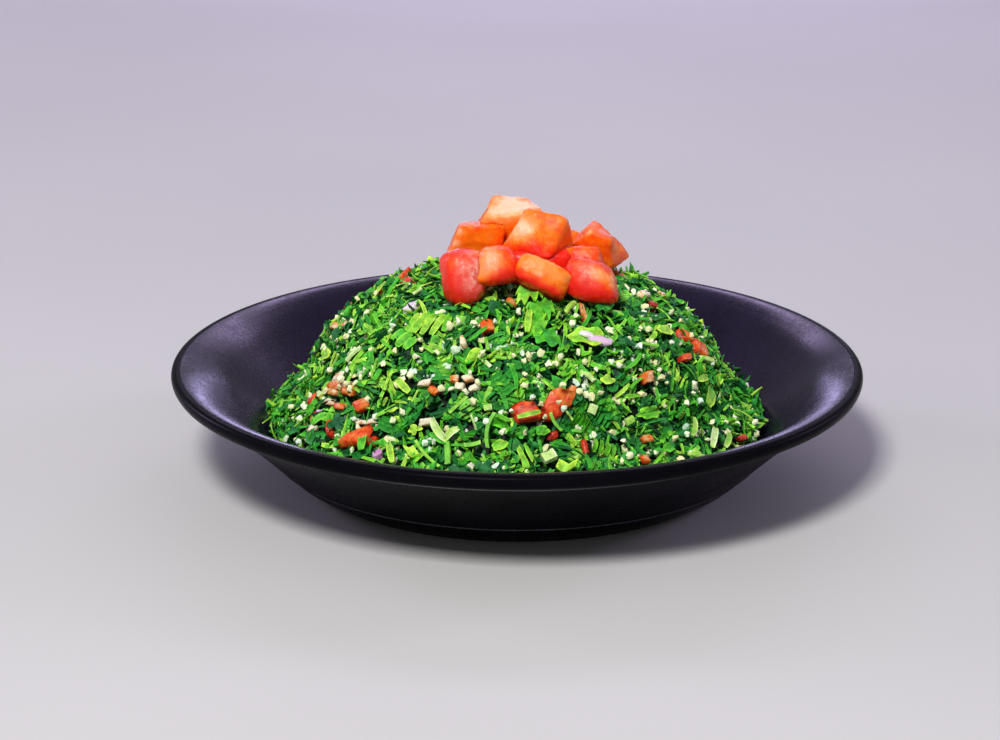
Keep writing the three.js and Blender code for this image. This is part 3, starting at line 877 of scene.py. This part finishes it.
# a length of stem: a bent rod with blunt ends and a groove
def leafStem(length, width, arc, groove, sway=0.0, segments=3, sides=7):
    corners, rims = [], []
    arc = arc if abs(arc) > 0.01 else 0.01
    radius = length / arc
    for i in range(segments + 1):
        along = arc * (i / segments - 0.5)
        for k in range(sides):
            angle = 2 * math.pi * k / sides + math.pi / 2
            reach = width / 2 * (1 - groove if k == 0 else 1)
            y, z = reach * math.cos(angle), 0.8 * reach * math.sin(angle)
            y += sway * (4 * (i / segments - 0.5) ** 2 - 0.35)
            corners.append(((radius + z) * math.sin(along), y, (radius + z) * math.cos(along) - radius))
            rims.append(0.9 if i in (0, segments) else 0.3)
    return corners, rodFaces(sides, segments), rims


# a cooked grain: a cracked kernel with blunt flat sides
def grainKernel(name, length, width, seed):
    work = bmesh.new()
    bmesh.ops.create_icosphere(work, subdivisions=2, radius=0.5)
    flats = np.random.default_rng(int(1000 * seed)).normal(size=(6, 3))
    for corner in work.verts:
        for flat in flats:
            side = Vector(flat).normalized()
            corner.co -= side * max(0, corner.co.dot(side) - 0.3)
        dent = 1 + 0.6 * noise.noise(corner.co * 2.6 + Vector((seed, 0, 0)))
        x, y, z = corner.co
        corner.co = Vector((x * length, y * width, z * width * 0.9)) * 1.2 * dent * mm
    return meshFromWork(name, work)


# a small cut block of tomato or onion; wedge narrows its far end
def choppedBlock(size, seed, pale, wedge=0.0, square=5, steps=4):
    mesh, p = roundedBlock("choppedBlock", steps, square)
    paleness = pale + 0.12 * p[:, 2] + 0.1 * p[:, 0]
    p[:, 1] *= 1 - wedge * (p[:, 0] + 1) / 2
    p[:, 0] += 0.25 * p[:, 2] * math.sin(7 * seed) + 0.25 * p[:, 1] * math.cos(5 * seed)
    p *= np.array(size) / 2
    broad = 0.14 * np.prod(size) ** (1 / 3)
    roughen(p, [(0.35, Vector((3 * seed, seed, 0)), broad), (1.1, Vector((seed, 3 * seed, 0)), 0.35)])
    faces = facesOf(mesh)
    bpy.data.meshes.remove(mesh)
    return p, faces, paleness


# presses whatever would cross the bowl's wall up onto it
def settleInBowl(mesh, clearance=0.25):
    corners = cornersOf(mesh) / mm
    lowest = insideHeight(np.hypot(corners[:, 0], corners[:, 1])) + clearance
    corners[:, 2] = np.maximum(corners[:, 2], lowest)
    moveCorners(mesh, corners * mm)


def finishSalad(name, mesh, sharpAngle):
    settleInBowl(mesh)
    smoothShade(mesh, sharpAngle)
    dress(linkObject(name, mesh), "salad")


# what the heap is mixed from. Density is pieces for each square metre of the heap's surface.
mixSettings = {
    "underLeaves": {
        "kinds": 8, "size": (2.4, 4.4), "stretch": (1.1, 2.4), "cuts": (4, 5), "curl": (-1.2, 1.2),
        "fold": (-0.2, 0.7), "pucker": (0.2, 0.9),
        "density": 150000, "scale": (0.8, 1.2), "tilt": 1, "flow": 0.4, "lift": (0.3, 2.4),
        "clearance": 0.8, "seed": 3,
        # the lower layer's greens are a darker copy of the leaf greens, as painted shade
        "greens": [(0, (0.003, 0.03, 0.012)), (0.5, (0.007, 0.1, 0.022)), (1, (0.03, 0.25, 0.026))],
    },
    "topLeaves": {
        "kinds": 12, "size": (2, 4.6), "stretch": (1.2, 2.6), "cuts": (4, 6), "curl": (-1.7, 1.7),
        "fold": (-0.5, 0.9), "pucker": (0.3, 1.1),
        "density": 56000, "scale": (0.7, 1.2), "tilt": 0.8, "flow": 0.5, "lift": (1.8, 3.9),
        "clearance": 1.6, "seed": 11,
        "greens": [(0, (0.01, 0.13, 0.035)), (0.3, (0.022, 0.28, 0.032)), (0.5, (0.06, 0.43, 0.025)),
                   (0.75, (0.17, 0.59, 0.035)), (1, (0.36, 0.7, 0.065))],
    },
    "shreds": {
        "kinds": 10, "length": (3.5, 9.5), "width": (0.6, 1.5), "fold": (-0.1, 0.5), "arc": (-0.8, 2.3),
        "twist": (-1.4, 1.4), "sway": (-1, 1),
        "density": 170000, "scale": (0.75, 1.15), "tilt": 0.6, "flow": 0.7, "lift": (1.8, 4.2),
        "clearance": 1.6, "seed": 17,
        "greens": [(0, (0.009, 0.12, 0.03)), (0.3, (0.022, 0.28, 0.03)), (0.5, (0.06, 0.43, 0.025)),
                   (0.75, (0.17, 0.59, 0.035)), (1, (0.36, 0.7, 0.065))],
    },
    "pleats": {
        "kinds": 8, "strips": (3, 5), "pitch": (1.1, 1.6), "length": (3.5, 7.5), "width": (1.2, 2),
        "arc": (0.2, 1.3), "lean": (0.4, 1),
        "density": 15000, "scale": (0.8, 1.15), "tilt": 0.45, "flow": 0.6, "lift": (2.2, 3.8),
        "clearance": 2.4, "seed": 29,
        "greens": [(0, (0.01, 0.13, 0.03)), (0.4, (0.028, 0.31, 0.03)), (0.75, (0.09, 0.5, 0.032)),
                   (1, (0.24, 0.62, 0.07))],
    },
    "curlyLeaves": {
        "kinds": 8, "size": (3.6, 7.2), "wave": (0.5, 1.1), "lobes": (3, 5),
        "density": 30000, "scale": (0.7, 1.15), "tilt": 0.7, "flow": 0, "lift": (2, 3.8), "clearance": 2,
        "seed": 23,
        "greens": [(0, (0.009, 0.12, 0.035)), (0.45, (0.028, 0.29, 0.03)), (0.8, (0.09, 0.47, 0.032)),
                   (1, (0.25, 0.61, 0.07))],
    },
    "stems": {
        "kinds": 7, "length": (1.6, 7), "width": (0.8, 1.6), "arc": (-0.5, 1.3), "groove": (0.1, 0.6),
        "density": 11000, "scale": (0.8, 1.2), "tilt": 0.5, "flow": 0.2, "lift": (2.8, 4.2), "clearance": 2,
        "seed": 31,
        "greens": [(0, (0.08, 0.42, 0.03)), (0.5, (0.22, 0.6, 0.05)), (0.85, (0.4, 0.7, 0.1)),
                   (1, (0.55, 0.75, 0.28))],
    },
    "grains": {
        "kinds": 7, "length": (1.9, 3), "width": (1.5, 2.2),
        "density": 126000, "scale": (0.65, 1.1), "tilt": 1.2, "flow": 0, "lift": (2.4, 4.2),
        "clearance": 1.2, "sparse": 0.5, "seed": 41,
    },
    "tomatoBits": {
        "kinds": 6, "size": (3, 6.5), "pale": (0, 0.5),
        "density": 3000, "scale": (0.7, 1.2), "tilt": 0.7, "flow": 0, "lift": (2.2, 3.6), "clearance": 4,
        "behind": 0, "seed": 53,
    },
    "onionBits": {
        "kinds": 4, "size": (2.5, 6),
        "density": 1700, "scale": (0.8, 1.2), "tilt": 0.6, "flow": 0, "lift": (3, 4), "clearance": 3,
        "behind": 0, "seed": 61,
    },
}


patchSizes = ("size", "stretch", "cuts", "curl", "fold", "pucker")
kindMakers = {
    "underLeaves": lambda take, draw: leafPatch(*map(take, patchSizes), draw, rings=1),
    "topLeaves": lambda take, draw: leafPatch(*map(take, patchSizes), draw),
    "shreds": lambda take, draw: leafStrip(*map(take, ("length", "width", "fold", "arc", "twist", "sway"))),
    "pleats": lambda take, draw: leafPleats(
        *map(take, ("strips", "pitch", "length", "width", "arc", "lean")), draw=draw),
    "curlyLeaves": lambda take, draw: leafCurl(
        take("size"), 0.8 * take("size"), take("wave"), take("lobes"), 10 * draw.random()),
    "stems": lambda take, draw: leafStem(*map(take, ("length", "width", "arc", "groove"))),
    "tomatoBits": lambda take, draw: choppedBlock(
        (take("size"), take("size"), take("size") * 0.7), 9 * draw.random(), take("pale")),
    "onionBits": lambda take, draw: choppedBlock(
        (take("size"), take("size") * 0.5, take("size") * 0.25), 9 * draw.random(), 0.4),
}


# the meshes of one kind of piece, each with its own sizes drawn from the kind's limits
def kindMeshes(name, given):
    draw = np.random.default_rng(given["seed"])
    shadeName = "pale" if name in ("tomatoBits", "onionBits") else "rim"

    def take(key):
        low, high = given[key]
        if key in ("cuts", "strips", "lobes"):
            return int(draw.integers(low, high + 1))
        return low + (high - low) * draw.random()

    names = [name + str(i) for i in range(given["kinds"])]
    if name == "grains":
        return [grainKernel(each, take("length"), take("width"), 9 * draw.random()) for each in names]
    return [meshFromShape(each, kindMakers[name](take, draw), shadeName) for each in names]


# The shown pieces are laid out as the camera sees them, in a view a thousand pixels wide.
viewSettings = {
    "pixelsPerMm": 3.115,  # at the camera's target
    "about": 3.11,  # the same for rough sizes
    "middle": 166,  # from the view's left side to its centre, roughly, in millimetres
    "centre": (517, 391.8),  # the pixel that the target is seen at
    "roll": 0.0035,  # radians
    "closeEnough": 0.02,  # pixels
    "tries": 60,
    "nudge": 0.05,  # millimetres on the heap, to feel how a place moves in the view
    "longestStep": 6,
    # a search starts at each in turn: x as a share of the pixel's own and what is added to it, then y
    "starts": ((0, 0.5, -40), (1, 0, -30), (1, 0, -60), (1, 0, -10), (0.6, 0, -50)),
    "widest": (74, 75.9),  # how far from the axis a search starts at most, and how far it may go
    "hidden": 50,  # pixels added to the miss of a place that faces away
}


# the way the heap's surface faces at a place: rows are its right, its up-slope and its outward direction
def heapFrame(x, y, inset):
    radius = math.hypot(x, y)
    fall = (heapHeight(radius - 0.5, inset) - heapHeight(radius + 0.5, inset)) if radius > 1 else 0
    normal = Vector((x / radius * fall, y / radius * fall, 1)).normalized()
    right = (Vector((1, 0, 0)) - normal * normal.x).normalized()
    return Matrix((right, normal.cross(right), normal)), Vector((x, y, heapHeight(radius, inset)))


# the pixel that a point is seen at, counted from the view's top left corner
def pixelOf(point):
    rise, distance = math.radians(cameraSettings["elevation"]), cameraSettings["distance"]
    x, y, z = np.array(point) - cameraSettings["target"]
    depth = distance + y * math.cos(rise) - z * math.sin(rise)
    seen = complex(x, y * math.sin(rise) + z * math.cos(rise)) / depth
    seen *= complex(math.cos(viewSettings["roll"]), math.sin(viewSettings["roll"]))
    seen *= viewSettings["pixelsPerMm"] * distance
    return np.array((viewSettings["centre"][0] + seen.real, viewSettings["centre"][1] - seen.imag))


# the place on the heap that is seen at a pixel once it is lifted off the core
def placeAt(pixel, lift, inset):
    given = viewSettings
    rise = math.radians(cameraSettings["elevation"])
    toCamera = Vector((0, -math.cos(rise), math.sin(rise)))
    nudge, found = given["nudge"], []

    def seen(place):
        axes, foot = heapFrame(*place, inset)
        return pixelOf(foot + axes[2] * lift)

    side = pixel[0] / given["about"] - given["middle"]
    for share, x, y in given["starts"]:
        place = np.array((share * side + x, y), float)
        place *= min(1, given["widest"][0] / math.hypot(*place))
        for _ in range(given["tries"]):
            here = seen(place)
            miss = pixel - here
            if np.abs(miss).max() < given["closeEnough"]:
                break
            moves = [(seen(place + move) - here) / nudge for move in ((nudge, 0), (0, nudge))]
            step = np.linalg.solve(np.array(moves).T, miss)
            place = place + step * min(1, given["longestStep"] / math.hypot(*step))
            place *= min(1, given["widest"][1] / math.hypot(*place))
        miss = np.abs(pixel - seen(place)).max()
        faces = heapFrame(*place, inset)[0][2].dot(toCamera) > 0
        found.append((miss + (0 if faces else given["hidden"]), *place))
    return min(found)[1:]


# the heading on the heap of what points some way in the view, and how many millimetres a pixel
# is along it and across it there
def layAlong(place, lift, direction, inset):
    axes, foot = heapFrame(*place, inset)
    middle = foot + axes[2] * lift
    slopes = np.array([pixelOf(middle + axes[k]) - pixelOf(middle) for k in (0, 1)]).T * ((1,), (-1,))
    aim = np.array((math.cos(math.radians(direction)), math.sin(math.radians(direction))))
    run = np.linalg.solve(slopes, aim)
    heading = math.atan2(run[1], run[0])
    across = slopes @ (-math.sin(heading), math.cos(heading))
    return math.degrees(heading), math.hypot(*run), 1 / abs(aim[0] * across[1] - aim[1] * across[0])


# Pieces that are told apart one by one, laid out as they are seen. A row starts with a piece's pixel,
# its direction there in degrees, and its length and width there in pixels. Its lift over the core, its
# tint and what its maker takes besides come after that: for pleats their pitch in pixels, how many
# strips they have and a seed. A rod has the pixels of its two ends in place of its pixel, direction and
# length. A side strip is seen edge-on, so it is given on the heap: x, y and pitch, and sizes in
# millimetres. A block goes on with its height in millimetres, how pale it is, and where they aren't the
# usual ones, its wedge and its lift. A grain is its pixel, its lift and its size in millimetres, 0 or
# nothing for the usual ones.
shownSettings = {
    "leaves": {
        "pleats": [
            (424, 324, 54, 25, 5, 4.4, 0.88, 7, 4, 4), (443, 323, 66, 22, 5, 4.2, 0.7, 7, 2, 12),
            (404, 340, 40, 18, 5, 4, 0.66, 7, 3, 9), (604, 447, 80, 14, 6, 4.2, 0.7, 6.5, 4, 6),
            (527, 455, -62, 29, 5, 4.4, 0.82, 8, 2, 8),
        ],
        "curl": [
            (530, 292, 30, 22, 18, 6.2, 0.8, 1.2, 9, 5.6, 0.1, -1.4, 0.3, 5),
            (604, 305, 10, 16, 12, 6.2, 0.35, 0.9, 6, 7.7, 0.12, -1.2, 0.4, 4),
            (541, 306, 40, 24, 24, 5.4, 0.62, 1.1, 9, 2.2, 0.1, -1.6, 0.3, 5),
            (536, 322, 80, 26, 24, 5.2, 0.7, 1, 8, 4.2, 0.1, -1.3, 0.3, 5),
            (545, 336, -10, 32, 16, 4.6, 0.45, 0.8, 7, 6.1, 0.1, -1, 0.4, 4),
            (588, 338, -12, 42, 18, 4.4, 0.9, 0.6, 6, 3.4, 0.05, -1.1, 0.7, 4),
            (664, 329, -10, 17, 9, 4.6, 1, 0.2, 5, 1.4, 0.08, -0.4, 0.4),
            (325, 356, 20, 15, 12, 4.6, 1, 0.3, 5, 7, 0.1, -0.5, 0.4),
            (650, 412, 12, 24, 14, 4.4, 0.72, 0.4, 6, 5, 0.12, -0.7, 0.5, 3),
            (500, 445, 20, 18, 11, 4.6, 0.78, 0.3, 5, 6, 0.1, -0.5, 0.4),
            (543, 430, 0, 15, 11, 6, 0.6, 0.3, 5, 8, 0.1, -0.6, 0.4),
            (415, 430, 10, 15, 11, 4.8, 1.1, 0.4, 4, 9, 0.2, -0.4, 0.4),
            (608, 379, 0, 15, 10, 4.8, 1.05, 0.3, 4, 10, 0.16, -0.4, 0.4),
        ],
        "strip": [
            (528, 320, 84, 22, 7, 5.6, 1.15, 0.5, 0.7), (323, 333.5, 20, 15, 8, 4.6, 0.95, 0.4, 0.6),
            (529, 414, 14, 24, 5, 7.4, 0.95, 0.3, 0.6), (363, 442, 80, 17, 8, 6, 0.55, 0.4, 0.6),
            (391, 454, 100, 18, 7, 4.8, 1, 0.4, 0.6), (710, 395, 80, 17, 9, 4.8, 0.85, 0.4, 0.8),
            (703, 377, 15, 12, 7, 4.8, 1, 0.4, 0.5), (403, 386, -45, 18, 8, 4.8, 1, 0.4, 0.5),
        ],
        "sideStrip": [
            (-74, -5, -100, 7.5, 2.2, 3.5, 0.95, 0.4, 0.3), (73.4, 1.6, -86, 8.5, 2.2, 3.6, 0.95, 0.4, 0.3),
        ],
    },
    "stems": {
        "rod": [
            (446, 436, 449, 464, 7, 4.8, 0.4, -0.5), (414, 441, 438, 467, 3.5, 4.8, 0.6, 0.8),
            (492, 412, 485, 447, 4.5, 5, 0.35, 1.2), (465, 446, 481, 443, 5, 4.6, 0.5, 0.3),
            (550, 413, 561, 431, 3.5, 7, 0.4, 0.6),
        ],
        "stub": [
            (488, 408, 10, 8, 7, 5.2, 0.8), (549, 456, 25, 13, 12, 5, 1), (593, 409, 70, 9, 9, 5, 0.95),
            (630, 420, 30, 8, 8, 5, 0.8),
        ],
        "strip": [
            (439, 431, -55, 27, 8, 5, 0.95, 0.6, 0.5, 0.6), (452, 433, 40, 17, 7, 5.2, 0.9, 0.6, 0.5, -0.5),
            (694, 425, 86, 19, 5, 4.8, 0.75, 0.4, 0.8, 0.4),
            (714, 435, 80, 20, 7, 4.8, 0.95, 0.5, 0.8, -0.4), (728, 438, 75, 15, 6, 4.8, 0.8, 0.4, 0.8),
        ],
    },
    "tomato": {
        "block": [
            (340, 378, 20, 10, 7, 2.6, 0.85), (354, 390, 60, 9, 6, 2.4, 0.5),
            (336, 388, 10, 16, 10, 2.8, 0.5), (348, 393, -10, 12, 8, 2.6, 0.48),
            (334, 394, -20, 9, 7, 2.6, 0.66), (347, 386, 0, 9, 7, 2.4, 0.8), (315, 401, 30, 9, 7, 2.6, 0.2),
            (330, 404, 10, 9, 6, 2.4, 0.82), (341, 408, -10, 10, 6, 2.6, 0.42),
            (317, 419, 15, 10, 7, 2.6, 0.2), (331, 431, 84, 15, 8, 3, 0.12), (313, 431, 0, 8, 6, 2.2, 0.95),
            (362, 407, 20, 14, 12, 3.4, 0.4), (367, 423, 8, 20, 5, 2, 0.9),
            (355, 440, 196, 36, 17, 3.8, 0.36, 0.9, 4.4), (374, 443, 80, 11, 8, 3, 0.1),
            (335, 328, 0, 7, 6, 2.4, 0.62), (345, 327, 30, 7, 5, 2.4, 0.66),
            (487, 327, 8, 13, 10, 3.4, 0.42), (434, 391, -30, 11, 8, 2.8, 0.45),
            (425, 384, 5, 12, 6, 2.2, 0.95), (455, 380, 0, 8, 6, 2.4, 0.62),
            (468, 379, 20, 10, 7, 2.6, 0.86), (460, 387, -10, 9, 7, 2.4, 0.9),
            (475, 388, 15, 10, 6, 2.4, 0.92), (427, 423, 8, 12, 8, 2.6, 0.98),
            (526, 413, 12, 28, 22, 5, 0.2), (556, 404, 62, 34, 22, 5, 0.34),
            (569, 398, 72, 22, 8, 3.4, 0.44), (552, 436, 10, 11, 8, 2.8, 0.04),
            (582, 312, 105, 17, 5, 2.2, 0.64), (647, 438, 10, 11, 8, 2.8, 0.5),
            (646, 459, 0, 8, 6, 2.4, 0.5), (585, 446, 100, 13, 5, 2.4, 0.1), (661, 295, 0, 8, 6, 2.2, 0.64),
            (652, 305, -20, 9, 6, 2.4, 0.06), (643, 294, 10, 8, 6, 2.2, 0.96),
            (684, 335, -20, 10, 7, 2.6, 0.4), (697, 347, -35, 15, 10, 3.2, 0.4),
            (684, 357, 0, 9, 7, 2.6, 0.3), (647, 377, 15, 13, 12, 3.2, 0.52),
            (742, 437, 20, 9, 7, 2.6, 0.15), (511, 303, -20, 9, 6, 2.2, 0.5),
            (463, 342, -70, 9, 6, 2.2, 0.84),
        ],
    },
    "onion": {
        "block": [
            (411, 308, 8, 12, 8, 2.4, 0.78), (600, 340, -14, 22, 6.5, 1.7, 0.4, 0, 5.3),
            (586, 334, -16, 14, 4, 1.2, 0.9, 0, 5.4), (321, 414, 0, 7, 5, 2, 0.4),
            (378, 456, 25, 11, 6, 2.2, 0.05),
        ],
    },
    "grains": [
        (375, 294), (357, 300), (366, 313), (392, 326), (346, 338), (371, 351), (347, 371), (353, 377),
        (355, 384), (350, 390), (310, 397), (291, 408), (376, 417), (354, 420), (358, 429), (352, 451, 7),
        (393, 421), (286, 440), (299, 444), (449, 326, 5.6, 3.6), (458, 322, 5.6, 3), (474, 323, 5.4, 2.9),
        (495, 322, 5.6, 2.6), (546, 448, 6.2, 2.6), (325, 392, 5.2, 2.9), (341, 381, 6, 2.8),
        (347, 384, 6.2, 2.6), (339, 388, 6, 2.4), (455, 351, 0, 3.6), (416, 357), (482, 354, 0, 2.8),
        (518, 312, 0, 2.8), (442, 389), (473, 402, 0, 2.8), (403, 413, 0, 3), (425, 443), (434, 442),
        (471, 466), (459, 453), (486, 421), (503, 432, 0, 2.8), (575, 315), (572, 324), (522, 353, 0, 3.2),
        (529, 356, 0, 3.4), (524, 362, 0, 3.2), (541, 353, 0, 2.8), (549, 364, 0, 2.9), (556, 363, 0, 2.6),
        (560, 357), (513, 355), (525, 374), (524, 385, 0, 2.8), (611, 361), (619, 364), (596, 368),
        (600, 392), (587, 395, 0, 3.1), (592, 397, 0, 2.8), (563, 384, 7.5), (533, 397, 7), (541, 403, 7.5),
        (559, 402, 7.5), (564, 409, 7), (545, 417, 7), (525, 432), (512, 411, 6.5), (630, 455), (624, 440),
        (623, 461), (644, 305, 0, 2.8), (644, 311), (671, 311), (680, 320), (648, 329, 0, 2.8), (691, 334),
        (712, 362), (661, 376), (667, 382), (695, 384), (694, 392), (700, 400), (687, 402), (665, 405),
        (712, 421), (726, 420), (688, 433), (675, 437), (755, 420), (757, 432), (470, 373), (477, 383),
        (452, 389), (466, 392), (578, 352), (585, 361), (640, 345), (629, 338), (420, 340), (437, 352),
        (383, 365), (395, 352), (330, 372), (300, 420),
    ],
}

# what shown pieces share unless their row says otherwise
shownUsual = {
    "blockTop": 4.5,  # how far a block's top stands over the core
    "stretch": 1.6,  # how much longer than it looks a piece may be made
    "blockStretch": 1.7,
    "mottle": (0.3, 0.35),  # how far a tint wanders over a piece, and how finely
    "print": (0.6, 0.6, 0.02),  # the share of a piece's size that its print on the core has
    "grainSeed": 5,
    "grainLift": 4.9,
    "grainShrink": 0.92,  # a given grain size is its size with the gleam round it
    "grainSize": (2, 0.1),  # the smallest usual size, and the step between five of them
}

shownMakers = {
    "pleats": lambda length, width, pitch, strips, seed: leafPleats(
        strips, pitch, length, width, 0.7, 0.5, seed),
    "curl": leafCurl,
    "strip": lambda length, width, fold, arc, sway=0: leafStrip(length, width, fold, arc, 0, sway),
    "rod": lambda length, width, sway: leafStem(length, width, 0.3, 0.4, sway, 5),
    "stub": lambda length, width: leafStem(length, width, 0.1, 0.2),
}


# one shown piece: its shape, its place and turn on the heap, its lift and its tint
def shownPiece(kind, seed, row, inset):
    if kind == "sideStrip":
        x, y, pitch, length, width, lift, tint, *sizes = row
        return leafStrip(length, width, *sizes), (x, y), (0, pitch, 0), lift, tint
    if kind == "rod":
        x, y, endX, endY, *rest = row
        direction = math.degrees(math.atan2(y - endY, endX - x))
        row = ((x + endX) / 2, (y + endY) / 2, direction, math.hypot(endX - x, endY - y), *rest)
    if kind == "block":
        *start, height, tint, wedge, lift = (*row, 0, round(shownUsual["blockTop"] - row[5] / 2, 1))[:9]
        row = (*start, lift, tint, height, wedge)
    px, py, direction, long, wide, lift, tint, *sizes = row
    place = placeAt((px, py), lift, inset)
    heading, along, across = layAlong(place, lift, direction, inset)
    most = shownUsual["blockStretch" if kind == "block" else "stretch"] / viewSettings["about"]
    length, width = round(long * min(along, most), 1), round(wide * min(across, most), 1)
    if kind == "pleats":
        sizes[0] = round(sizes[0] * across, 1)
    if kind == "block":
        shape = choppedBlock((length, width, sizes[0]), seed, tint, sizes[1])
    else:
        shape = shownMakers[kind](length, width, *sizes)
    return shape, [round(side, 1) for side in place], (0, 0, round(heading)), lift, tint


# one joined mesh of the shown pieces of a sort, and the prints they leave on the core
def shownPieces(name, given, inset, material):
    solid, prints, tints = [], [], []
    wander, fineness = shownUsual["mottle"]
    rows = [(kind, seed, row) for kind, group in given.items() for seed, row in enumerate(group)]
    for kind, seed, row in rows:
        (corners, faces, shades), place, turn, lift, tint = shownPiece(kind, seed, row, inset)
        axes, foot = heapFrame(*place, inset)
        onto = np.array(axes.transposed() @ turnMatrix(turn))
        foot = np.array(foot)
        solid.append((np.array(corners) @ onto.T + foot + np.array(axes[2]) * lift, faces, shades))
        tints += [tint + wander * noise.noise(Vector(corner) * fineness) for corner in solid[-1][0]]
        prints.append((np.array(corners) * shownUsual["print"] @ onto.T + foot, faces, shades))
    shape = joinShapes(solid)
    mesh = meshFromShape(name, shape)
    storeValues(mesh, "tint", tints)
    storeValues(mesh, "pale", shape[2])
    mesh.materials.append(material)
    finishSalad(name, mesh, 50)
    return linkObject(name + "Prints", meshFromShape(name + "Prints", joinShapes(prints)))


def shownGrains(rows, inset, kinds, material):
    draw = np.random.default_rng(shownUsual["grainSeed"])
    shapes, tints = [], []
    smallest, further = shownUsual["grainSize"]
    for i, row in enumerate(rows):
        px, py, lift, size = (*row, 0, 0)[:4]
        lift = lift or shownUsual["grainLift"]
        size = round(size * shownUsual["grainShrink"] or smallest + further * (7 * i % 5), 1)
        kind = kinds[i % len(kinds)]
        axes, foot = heapFrame(*(round(side, 1) for side in placeAt((px, py), lift, inset)), inset)
        foot = np.array(foot) + np.array(axes[2]) * lift
        turn = np.array(Euler(2 * math.pi * draw.random(3), "XYZ").to_matrix())
        corners = cornersOf(kind)
        corners *= size / np.ptp(corners, axis=0).max()
        shapes.append((corners @ turn.T + foot, facesOf(kind), [0] * len(corners)))
        tints += [draw.random()] * len(corners)
    mesh = meshFromShape("shownGrains", joinShapes(shapes))
    storeValues(mesh, "tint", tints)
    mesh.materials.append(material)
    finishSalad("shownGrains", mesh, 35)


def scatterPieces(name, surface, toppings, kinds, given, material, tree, lumps):
    collection = bpy.data.collections.new(name + "Kinds")
    for kind in kinds:
        linkObject(kind.name, kind, None, collection)
    mesh = runTree(surface, tree, {
        "Pieces": collection, "Toppings": toppings, "Density": float(given["density"]),
        "Seed": given["seed"], "Smallest": given["scale"][0], "Largest": given["scale"][1],
        "Tilt": given["tilt"], "Flow": given["flow"],
        "Lowest": given["lift"][0] * mm, "Highest": given["lift"][1] * mm, "Lumps": lumps * mm,
        "Sparse": given.get("sparse", 0.0), "Clearance": given["clearance"] * mm,
        "Behind": given.get("behind", -1.0), "Material": material,
    })
    mesh.name = name
    finishSalad(name, mesh, 50)


def joinedCopy(name, parts):
    work = bmesh.new()
    for part in parts:
        work.from_mesh(part.data)
    return linkObject(name, meshFromWork(name, work))


def makeHeap(settings, mixes, shown, dice):
    core = makeCore(settings)
    dress(core, "salad")
    surface = topSurface(core, settings["lowest"])
    tree = scatterTree()
    tomato = tomatoFlesh("choppedTomato", [
        (0.0, (0.2, 0.012, 0.008)), (0.18, (0.45, 0.025, 0.01)), (0.4, (0.75, 0.07, 0.012)),
        (0.6, (0.74, 0.19, 0.025)), (0.8, (0.74, 0.4, 0.17)), (1.0, (0.86, 0.74, 0.54)),
    ], 480, 1.15)
    soft = (2.1, 1.6, 1.5)
    # each green's name, roughness, darkest dapple and gain at a cut edge, the gain being partly a painted
    # edge highlight
    greens = {
        "underLeaves": ("underGreen", 0.5, 0.5, soft), "topLeaves": ("topGreen", 0.5, 0.6, soft),
        "shreds": ("shredGreen", 0.5, 0.6, soft), "pleats": ("pleatGreen", 0.5, 0.6, (1.9, 1.5, 1.6)),
        "curlyLeaves": ("curlyGreen", 0.5, 0.55, soft), "stems": ("stemGreen", 0.45, 0.8, (1.6, 1.35, 2.2)),
    }
    finishes = {}
    for name, (label, *rest) in greens.items():
        finishes[name] = leafGreen(label, mixes[name]["greens"], *rest)
    finishes |= {"grains": bulgurCream(), "tomatoBits": tomato, "onionBits": onionLilac()}
    inset = settings["inset"]
    # the sorts of shown pieces, and whose finish each takes
    sorts = {"leaves": "topLeaves", "stems": "stems", "tomato": "tomatoBits", "onion": "onionBits"}
    prints = []
    for sort, kind in sorts.items():
        prints.append(shownPieces("shown" + sort.capitalize(), shown[sort], inset, finishes[kind]))
    diceOnly = joinedCopy("diceOnly", dice)
    toppings = joinedCopy("toppings", dice + prints)
    for name, material in finishes.items():
        kinds = kindMeshes(name, mixes[name])
        over = diceOnly if name == "underLeaves" else toppings
        scatterPieces(name, surface, over, kinds, mixes[name], material, tree, settings["lumps"])
        if name == "grains":
            shownGrains(shown["grains"], inset, kinds, material)
    for helper in (surface, diceOnly, toppings, *prints):
        bpy.data.objects.remove(helper)


makeHeap(heapSettings, mixSettings, shownSettings, dicePieces)
